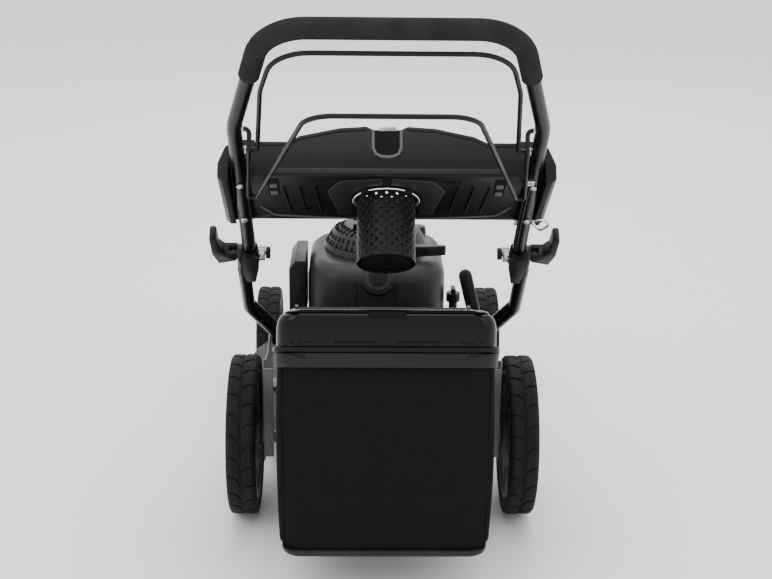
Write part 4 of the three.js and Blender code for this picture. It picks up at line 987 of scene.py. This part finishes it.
def tray():
    """The tray: its shell, the ledge and rims of its rear wall, and the panels moulded under it."""
    skin("tray_shell", mm(1.6), segments=3)
    rear, wall = 153, []
    # A bevelled rim that follows the rear wall's top edge.
    for side, sign in SIDES.items():
        top = [(20, 75), (31, 81), (72, 78), (130, 65), (150, 55), (198, 55)]
        line = [mm(sign * x, y - 5.2, rear + 0.2) for x, y in top[1:]]
        wire(f"tray_rim_{side}", line, mm(1.0), "tyre_rubber", "handle", place=TRAY)
        notch = [mm(sign * x, y, rear + 0.3) for x, y in ((21, 75), (21, 46), (17, 36), (9, 32), (0, 31))]
        wire(f"tray_notch_{side}", notch, mm(2.4), "rim_plastic", "handle", place=TRAY)
    # A near-black plate behind the notch: painted shade in the opening.
    bm = prism(bmesh.new(), [mm(x, y, rear - 1) for x, y in ((-19, 75), (-19, 46), (-15, 37), (-8, 34), (8, 34), (15, 37),
                                                              (19, 46), (19, 75))], mm(0, 0, 1.5))
    piece("tray_notch_painted_shade", bm, "dark_gap", "handle", place=TRAY)
    bm = prism(bmesh.new(), [mm(x, y, rear - 2.4) for x, y in ((-12, 73), (-12, 79), (14, 81), (14, 73))], mm(0, 0, 4))
    soften(bm, mm(0.6))
    piece("tray_tab", bm, "plain_steel", "handle", place=TRAY)
    # The ledge between the rear wall and the floor.
    bm = prism(bmesh.new(), [mm(x, y, rear - 1) for x, y in ((-176, 3), (-172, 12.5), (172, 12.5), (176, 3))], mm(0, 0, 2.6))
    soften(bm, mm(1.2), 3)
    piece("tray_ledge", bm, "frame_plastic", "handle", place=TRAY)
    # A raised panel each side of the cup, under the floor.
    for side, sign in SIDES.items():
        shape = [(7, 146), (71, 137), (89, 100), (74, 8), (52, 7), (54, 80), (46, 104), (30, 118), (7, 124)]
        bm = prism(bmesh.new(), [mm(sign * x, 0.5, z) for x, z in shape], mm(0, -3.2, 0))
        soften(bm, mm(1.3), 3)
        outward(bm)
        piece(f"tray_panel_{side}", bm, "hood_plastic", "handle", place=TRAY)
        # A near-black slab in each pocket: painted shade in the recess.
        bm = block(bmesh.new(), mm(min(sign * 162, sign * 179), -0.5, 80), mm(max(sign * 162, sign * 179), 1, 143))
        piece(f"tray_pocket_{side}", bm, "dark_gap", "handle", place=TRAY)
        bm = bmesh.new()
        for z0 in (86, 112):
            block(bm, mm(min(sign * 165, sign * 176), -3, z0), mm(max(sign * 165, sign * 176), 0, z0 + 12))
        soften(bm, mm(0.8))
        piece(f"tray_clip_{side}", bm, "rim_plastic", "handle", place=TRAY)
        # A near-black slab: painted shade in the slot.
        bm = block(bmesh.new(), mm(min(sign * 88, sign * 113), -0.4, 124), mm(max(sign * 88, sign * 113), 1, 136))
        piece(f"tray_slot_{side}", bm, "dark_gap", "handle", place=TRAY)
        bm = bmesh.new()
        for x in (100, 124, 148):
            lean = 8
            points = [mm(sign * (x - 1), 0, 12), mm(sign * (x + 1), 0, 12), mm(sign * (x + lean + 1), 0, 112),
                      mm(sign * (x + lean - 1), 0, 112)]
            prism(bm, points, mm(0, -3.4, 0))
        outward(soften(bm, mm(0.5)))
        piece(f"tray_ribs_{side}", bm, "trim_plastic", "handle", place=TRAY)
        foot = [mm(sign * x, -1, z) for x, z in ((195, 37), (176, 2), (158, -2), (126, -6), (70, -12), (0, -16))]
        wire(f"tray_front_rim_{side}", foot, mm(1.7), "rim_plastic", "handle", place=TRAY)
    # A near-black slab: painted shade in the gap between the two panels.
    bm = block(bmesh.new(), mm(-6, -1.2, 118), mm(6, 1, 148))
    piece("tray_gap", bm, "dark_gap", "handle", place=TRAY)


# ------------------------------------------------------------------ engine


BLADE = pivot("blade_spin")


def engine_point(x, y, z):
    """A place given from the crankshaft's axis, at a height from the ground."""
    return Vector((BLADE.x + mm(x), BLADE.y + mm(y), mm(z)))


def hood():
    """The engine's hood: one smooth moulding with its seams, and a plate low on its rear face."""
    low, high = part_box("engine_hood")
    a, b = (low.x, low.y), (high.x, high.y)
    layers = [(*shrink(a, b, mm(0.8)), mm(61), low.z), (*shrink(a, b, 0), mm(62), low.z + mm(1.6))]
    layers.append((*shrink(a, b, 0), mm(62), high.z - mm(34)))
    for k in range(1, 10):
        turn = math.radians(10 * k)
        inset = 34 * (1 - math.cos(turn))
        layers.append((*shrink(a, b, mm(inset)), mm(62 - inset * 0.9), high.z - mm(34) + mm(34) * math.sin(turn)))
    bm = outward(layered(bmesh.new(), layers))
    piece("hood_shell", bm, "hood_plastic", "chassis", "engine_hood", smooth=50)
    rear = low.y
    # The seams as thin near-black wires: painted shade in the seam grooves.
    for k, x in enumerate((-37, 34)):
        seam = [engine_point(x, 0, 0) for _ in range(3)]
        seam[0] = Vector((BLADE.x + mm(x), rear + mm(0.2), low.z + mm(2)))
        seam[1] = Vector((BLADE.x + mm(x), rear + mm(0.2), high.z - mm(34)))
        seam[2] = Vector((BLADE.x + mm(x * 0.98), rear + mm(4.8), high.z - mm(17)))
        wire(f"hood_seam_{k}", seam, mm(0.9), "dark_gap", "chassis", round_steps=2)
    bm = bmesh.new()
    block(bm, (BLADE.x - mm(44), rear - mm(0.2), low.z + mm(8)), (BLADE.x + mm(46), rear + mm(2), low.z + mm(26)))
    soften(bm, mm(1.6), 3)
    piece("hood_plate", bm, "trim_plastic", "chassis")


def fan_cover():
    """A turned cover whose crown carries rows of square vents, drawn as near-black blocks of painted shade."""
    skin("fan_cover", mm(0.9))
    low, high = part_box("fan_cover")
    centre = (low + high) / 2
    base = low.z
    # The cover's seam as a thin near-black wire: painted shade in its groove.
    seam = [Vector((BLADE.x + mm(97) * math.cos(a), BLADE.y + mm(97) * math.sin(a), base + mm(16)))
            for a in (math.radians(180 + 6 * k) for k in range(21))]
    wire("cover_seam", seam, mm(0.8), "dark_gap", "chassis", round_steps=2)
    # Rows of vents down the cover's slope, each a near-black block of painted shade: radius, height over its foot,
    # length, width and slope.
    bm = bmesh.new()
    for radius, rise, long, wide, slope, turn in (
        (92.5, 17.5, 9, 3.6, 60, 8), (86.5, 28, 9, 3.6, 60, 8), (75, 39.7, 8, 5, 24, 9), (65, 44.2, 8, 5, 24, 9),
    ):
        for k in range(14):
            around = Matrix.Rotation(math.radians(160 + turn * k), 4, "Z")
            spot = Matrix.Translation((BLADE.x, BLADE.y, base)) @ around @ Matrix.Translation(mm(radius, 0, rise))
            slot = spot @ Matrix.Rotation(math.radians(slope), 4, "Y") @ Matrix.Diagonal((*mm(long, wide, 1.6), 1))
            bmesh.ops.create_cube(bm, size=1, matrix=slot)
    piece("cover_vents", bm, "dark_gap", "chassis")
    # The round cap on the hood's rear shoulder, with its moulded arcs.
    cap = Matrix.Translation(engine_point(2, -124, 362)) @ Matrix.Rotation(math.radians(62), 4, "X")
    for k, (radius, depth) in enumerate(((33, 6), (26, 8), (18, 9.5))):
        bm = bmesh.new()
        disc = cap @ Matrix.Translation(mm(0, 0, depth / 2 - 3))
        bmesh.ops.create_cone(bm, cap_ends=True, segments=64, radius1=mm(radius), radius2=mm(radius - 1.4),
                              depth=mm(depth), matrix=disc)
        soften(bm, mm(0.8))
        piece(f"hood_cap_{k}", bm, ("trim_plastic", "hood_plastic", "trim_plastic")[k], "chassis")


def engine_trims():
    """Notches of the filter box, the pull grip's lattice and small fittings beside the hood."""
    low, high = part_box("air_filter_box")
    skin("air_filter_box", mm(2.2), segments=3)
    # Near-black blocks in the filter box's notches: painted shade in the notches.
    bm = bmesh.new()
    for z in (286, 322):
        block(bm, (high.x - mm(12), low.y - mm(0.3), mm(z)), (high.x - mm(2), low.y + mm(3), mm(z + 14)))
    soften(bm, mm(0.6))
    piece("filter_notches", bm, "dark_gap", "chassis")
    skin("starter_grip", mm(3.2), segments=3)
    low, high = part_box("starter_grip")
    # Near-black strips between the grip's lattice bars: painted shade in the openings.
    bm = bmesh.new()
    for k in range(4):
        x = low.x + mm(34 + 7 * k)
        block(bm, (x, low.y - mm(0.4), low.z + mm(3.5)), (x + mm(2.4), low.y + mm(3), high.z - mm(3.5)))
    piece("grip_lattice", bm, "dark_gap", "starter_grip")


# ------------------------------------------------------------------ everything else


FINE = {
    "deck_shell": 2.2, "discharge_chute": 1.4, "rear_door": 1.2, "drive_gearbox": 2.0, "crankcase": 1.5,
    "cylinder_head": 0.7, "muffler": 1.6, "handle_bracket_left": 0.9, "handle_bracket_right": 0.9,
    "lower_handle_left": 1.4, "lower_handle_right": 1.4, "knuckle_left": 1.2, "knuckle_right": 1.2,
    "cam_lever_left": 1.6, "cam_lever_right": 1.6, "height_lever": 0.7, "height_grip": 3.0, "oil_cap": 1.2,
    "fuel_cap": 1.4, "oil_filler": 1.0, "blade": 0.5, "flywheel_fan": 0.6,
}


def remaining():
    """Every CAD piece that nothing above stands for, with its edges rounded."""
    shown = {node for o in bpy.context.scene.objects for node in o.get("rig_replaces", [])}
    for node in sorted(set(NODES) - shown):
        skin(node, mm(FINE.get(node, 0.6)))


def axle_bosses():
    """The bosses that the rear axle turns in, between the brackets and the wheels."""
    for side, sign in SIDES.items():
        centre = pivot(f"wheel_rear_{side}_spin")
        near, far = abs(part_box("handle_bracket_right")[1].x) - mm(14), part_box("tyre_rear_right")[0].x - mm(1)
        profile = [(near, 0.5), (near, 17), (near + mm(2), 20), (far - mm(3), 20), (far, 17), (far, 0.5)]
        points = [Vector((sign * x, centre.y, centre.z + mm(r))) for x, r in profile]
        bm = outward(spun(bmesh.new(), points, centre, Vector((1, 0, 0)), 48))
        piece(f"axle_boss_{side}", bm, "bracket_steel", "chassis")


def clamp_details():
    """The clamps' toothed knobs beside the fold joints."""
    for side, sign in SIDES.items():
        bm = bmesh.new()
        knob = HANDLE @ Matrix.Translation(mm(sign * 190, 0, 0)) @ Matrix.Rotation(math.pi / 2, 4, "Y")
        bmesh.ops.create_cone(bm, cap_ends=True, segments=16, radius1=mm(10), radius2=mm(10), depth=mm(7), matrix=knob)
        caps = [f for f in bm.faces if len(f.verts) > 4]
        for face in [f for f in bm.faces if len(f.verts) == 4][::2]:
            bmesh.ops.inset_individual(bm, faces=[face], thickness=mm(0.6), depth=-mm(1.2))
        soften(bm, mm(0.3), angle=40)
        piece(f"fold_knob_{side}", bm, "trim_plastic", "chassis")


# ------------------------------------------------------------------ stage


def stage_set():
    """A plain pale floor, soft lights and the camera behind the mower."""
    bpy.ops.mesh.primitive_plane_add(size=60, location=(0, 0, 0))
    floor = bpy.context.object
    floor.name = "floor"
    finish = Finish("floor_white", (0.86, 0.86, 0.87), roughness=0.7)
    floor.data.materials.append(finish.material)
    lights = (
        ("key", (-2.2, -2.6, 3.4), 2.6, 42),
        ("fill", (2.6, -2.2, 2.2), 2.4, 18),
        ("top", (0, 0.2, 3.8), 3.0, 62),
        ("rim", (0.4, 3.4, 2.4), 2.4, 30),
    )
    for name, spot, size, power in lights:
        data = bpy.data.lights.new(name, "AREA")
        data.shape, data.size, data.energy = "DISK", size, power
        light = bpy.data.objects.new(name, data)
        light.location = spot
        aim = Vector((0, 0, 0.4)) - Vector(spot)
        light.rotation_euler = aim.to_track_quat("-Z", "Y").to_euler()
        bpy.context.scene.collection.objects.link(light)
    world = bpy.data.worlds.new("studio")
    world.use_nodes = True
    world.node_tree.nodes["Background"].inputs["Color"].default_value = (1, 1, 1, 1)
    world.node_tree.nodes["Background"].inputs["Strength"].default_value = 1.5
    bpy.context.scene.world = world
    data = bpy.data.cameras.new("camera")
    data.lens, data.sensor_width = 67.62, 36
    camera = bpy.data.objects.new("camera", data)
    yaw, pitch, roll = (math.radians(v) for v in (1.183, 18.664, 0.665))
    turn = (
        Matrix.Rotation(-yaw, 4, "Z")
        @ Matrix.Rotation(math.pi / 2 - pitch, 4, "X")
        @ Matrix.Rotation(roll, 4, "Z")
    )
    camera.matrix_world = Matrix.Translation((-0.0431, -2.4263, 1.1906)) @ turn
    bpy.context.scene.collection.objects.link(camera)
    bpy.context.scene.camera = camera


# ------------------------------------------------------------------ add-on


class MOWER_OT_finishes(bpy.types.Operator):
    """Make the procedural material of every slot."""

    bl_idname = "mower.finishes"
    bl_label = "Finishes"
    bl_options = {"REGISTER", "UNDO"}

    def execute(self, context):
        make_finishes(context.scene.mower_colours)
        return {"FINISHED"}


class MOWER_OT_wheels(bpy.types.Operator):
    """Build the four tyres with their treads, rims and the rear axle bosses."""

    bl_idname = "mower.wheels"
    bl_label = "Wheels"
    bl_options = {"REGISTER", "UNDO"}

    def execute(self, context):
        for end in ("rear", "front"):
            for side in SIDES:
                wheel(end, side)
        axle_bosses()
        return {"FINISHED"}


class MOWER_OT_bag(bpy.types.Operator):
    """Build the cloth, its piping, frame, lid and pan."""

    bl_idname = "mower.bag"
    bl_label = "Grass bag"
    bl_options = {"REGISTER", "UNDO"}

    def execute(self, context):
        bag_walls()
        bag_trim()
        bag_frame()
        lid()
        bag_pan()
        return {"FINISHED"}


class MOWER_OT_handle(bpy.types.Operator):
    """Build the tube, its grip, the two bails and the fittings."""

    bl_idname = "mower.handle"
    bl_label = "Handle"
    bl_options = {"REGISTER", "UNDO"}

    def execute(self, context):
        handle_tube()
        grip()
        bails()
        fittings()
        clamp_details()
        return {"FINISHED"}


class MOWER_OT_tray(bpy.types.Operator):
    """Build the tray and its cup basket."""

    bl_idname = "mower.tray"
    bl_label = "Tray"
    bl_options = {"REGISTER", "UNDO"}

    def execute(self, context):
        tray()
        basket()
        return {"FINISHED"}


class MOWER_OT_engine(bpy.types.Operator):
    """Build the hood, the fan cover and the engine trims."""

    bl_idname = "mower.engine"
    bl_label = "Engine"
    bl_options = {"REGISTER", "UNDO"}

    def execute(self, context):
        hood()
        fan_cover()
        engine_trims()
        return {"FINISHED"}


class MOWER_OT_metalwork(bpy.types.Operator):
    """Round the edges of every other piece."""

    bl_idname = "mower.metalwork"
    bl_label = "Metalwork"
    bl_options = {"REGISTER", "UNDO"}

    def execute(self, context):
        remaining()
        return {"FINISHED"}


class MOWER_OT_stage(bpy.types.Operator):
    """Set the floor, the lights and the camera."""

    bl_idname = "mower.stage"
    bl_label = "Stage"
    bl_options = {"REGISTER", "UNDO"}

    def execute(self, context):
        stage_set()
        return {"FINISHED"}


OPERATORS = (
    MOWER_OT_finishes,
    MOWER_OT_wheels,
    MOWER_OT_bag,
    MOWER_OT_handle,
    MOWER_OT_tray,
    MOWER_OT_engine,
    MOWER_OT_metalwork,
    MOWER_OT_stage,
)


class MOWER_PT_build(bpy.types.Panel):
    """The mower's sizes, colours and building steps."""

    bl_label = "Lawn mower"
    bl_space_type = "VIEW_3D"
    bl_region_type = "UI"
    bl_category = "Mower"

    def draw(self, context):
        layout = self.layout
        for title, group in (("Sizes", context.scene.mower_sizes), ("Colours", context.scene.mower_colours)):
            box = layout.box()
            box.label(text=title)
            for name in group.bl_rna.properties.keys():
                if name not in ("rna_type", "name"):
                    box.prop(group, name)
        column = layout.column(align=True)
        for made in OPERATORS:
            column.operator(made.bl_idname)


CLASSES = (MowerSizes, MowerColours, *OPERATORS, MOWER_PT_build)


def register():
    for cls in CLASSES:
        bpy.utils.register_class(cls)
    bpy.types.Scene.mower_sizes = PointerProperty(type=MowerSizes)
    bpy.types.Scene.mower_colours = PointerProperty(type=MowerColours)


def unregister():
    del bpy.types.Scene.mower_colours
    del bpy.types.Scene.mower_sizes
    for cls in reversed(CLASSES):
        bpy.utils.unregister_class(cls)


def main():
    register()
    bpy.ops.mower.finishes()
    bpy.ops.mower.wheels()
    bpy.ops.mower.bag()
    bpy.ops.mower.handle()
    bpy.ops.mower.tray()
    bpy.ops.mower.engine()
    bpy.ops.mower.metalwork()
    bpy.ops.mower.stage()


if __name__ == "__main__":
    main()
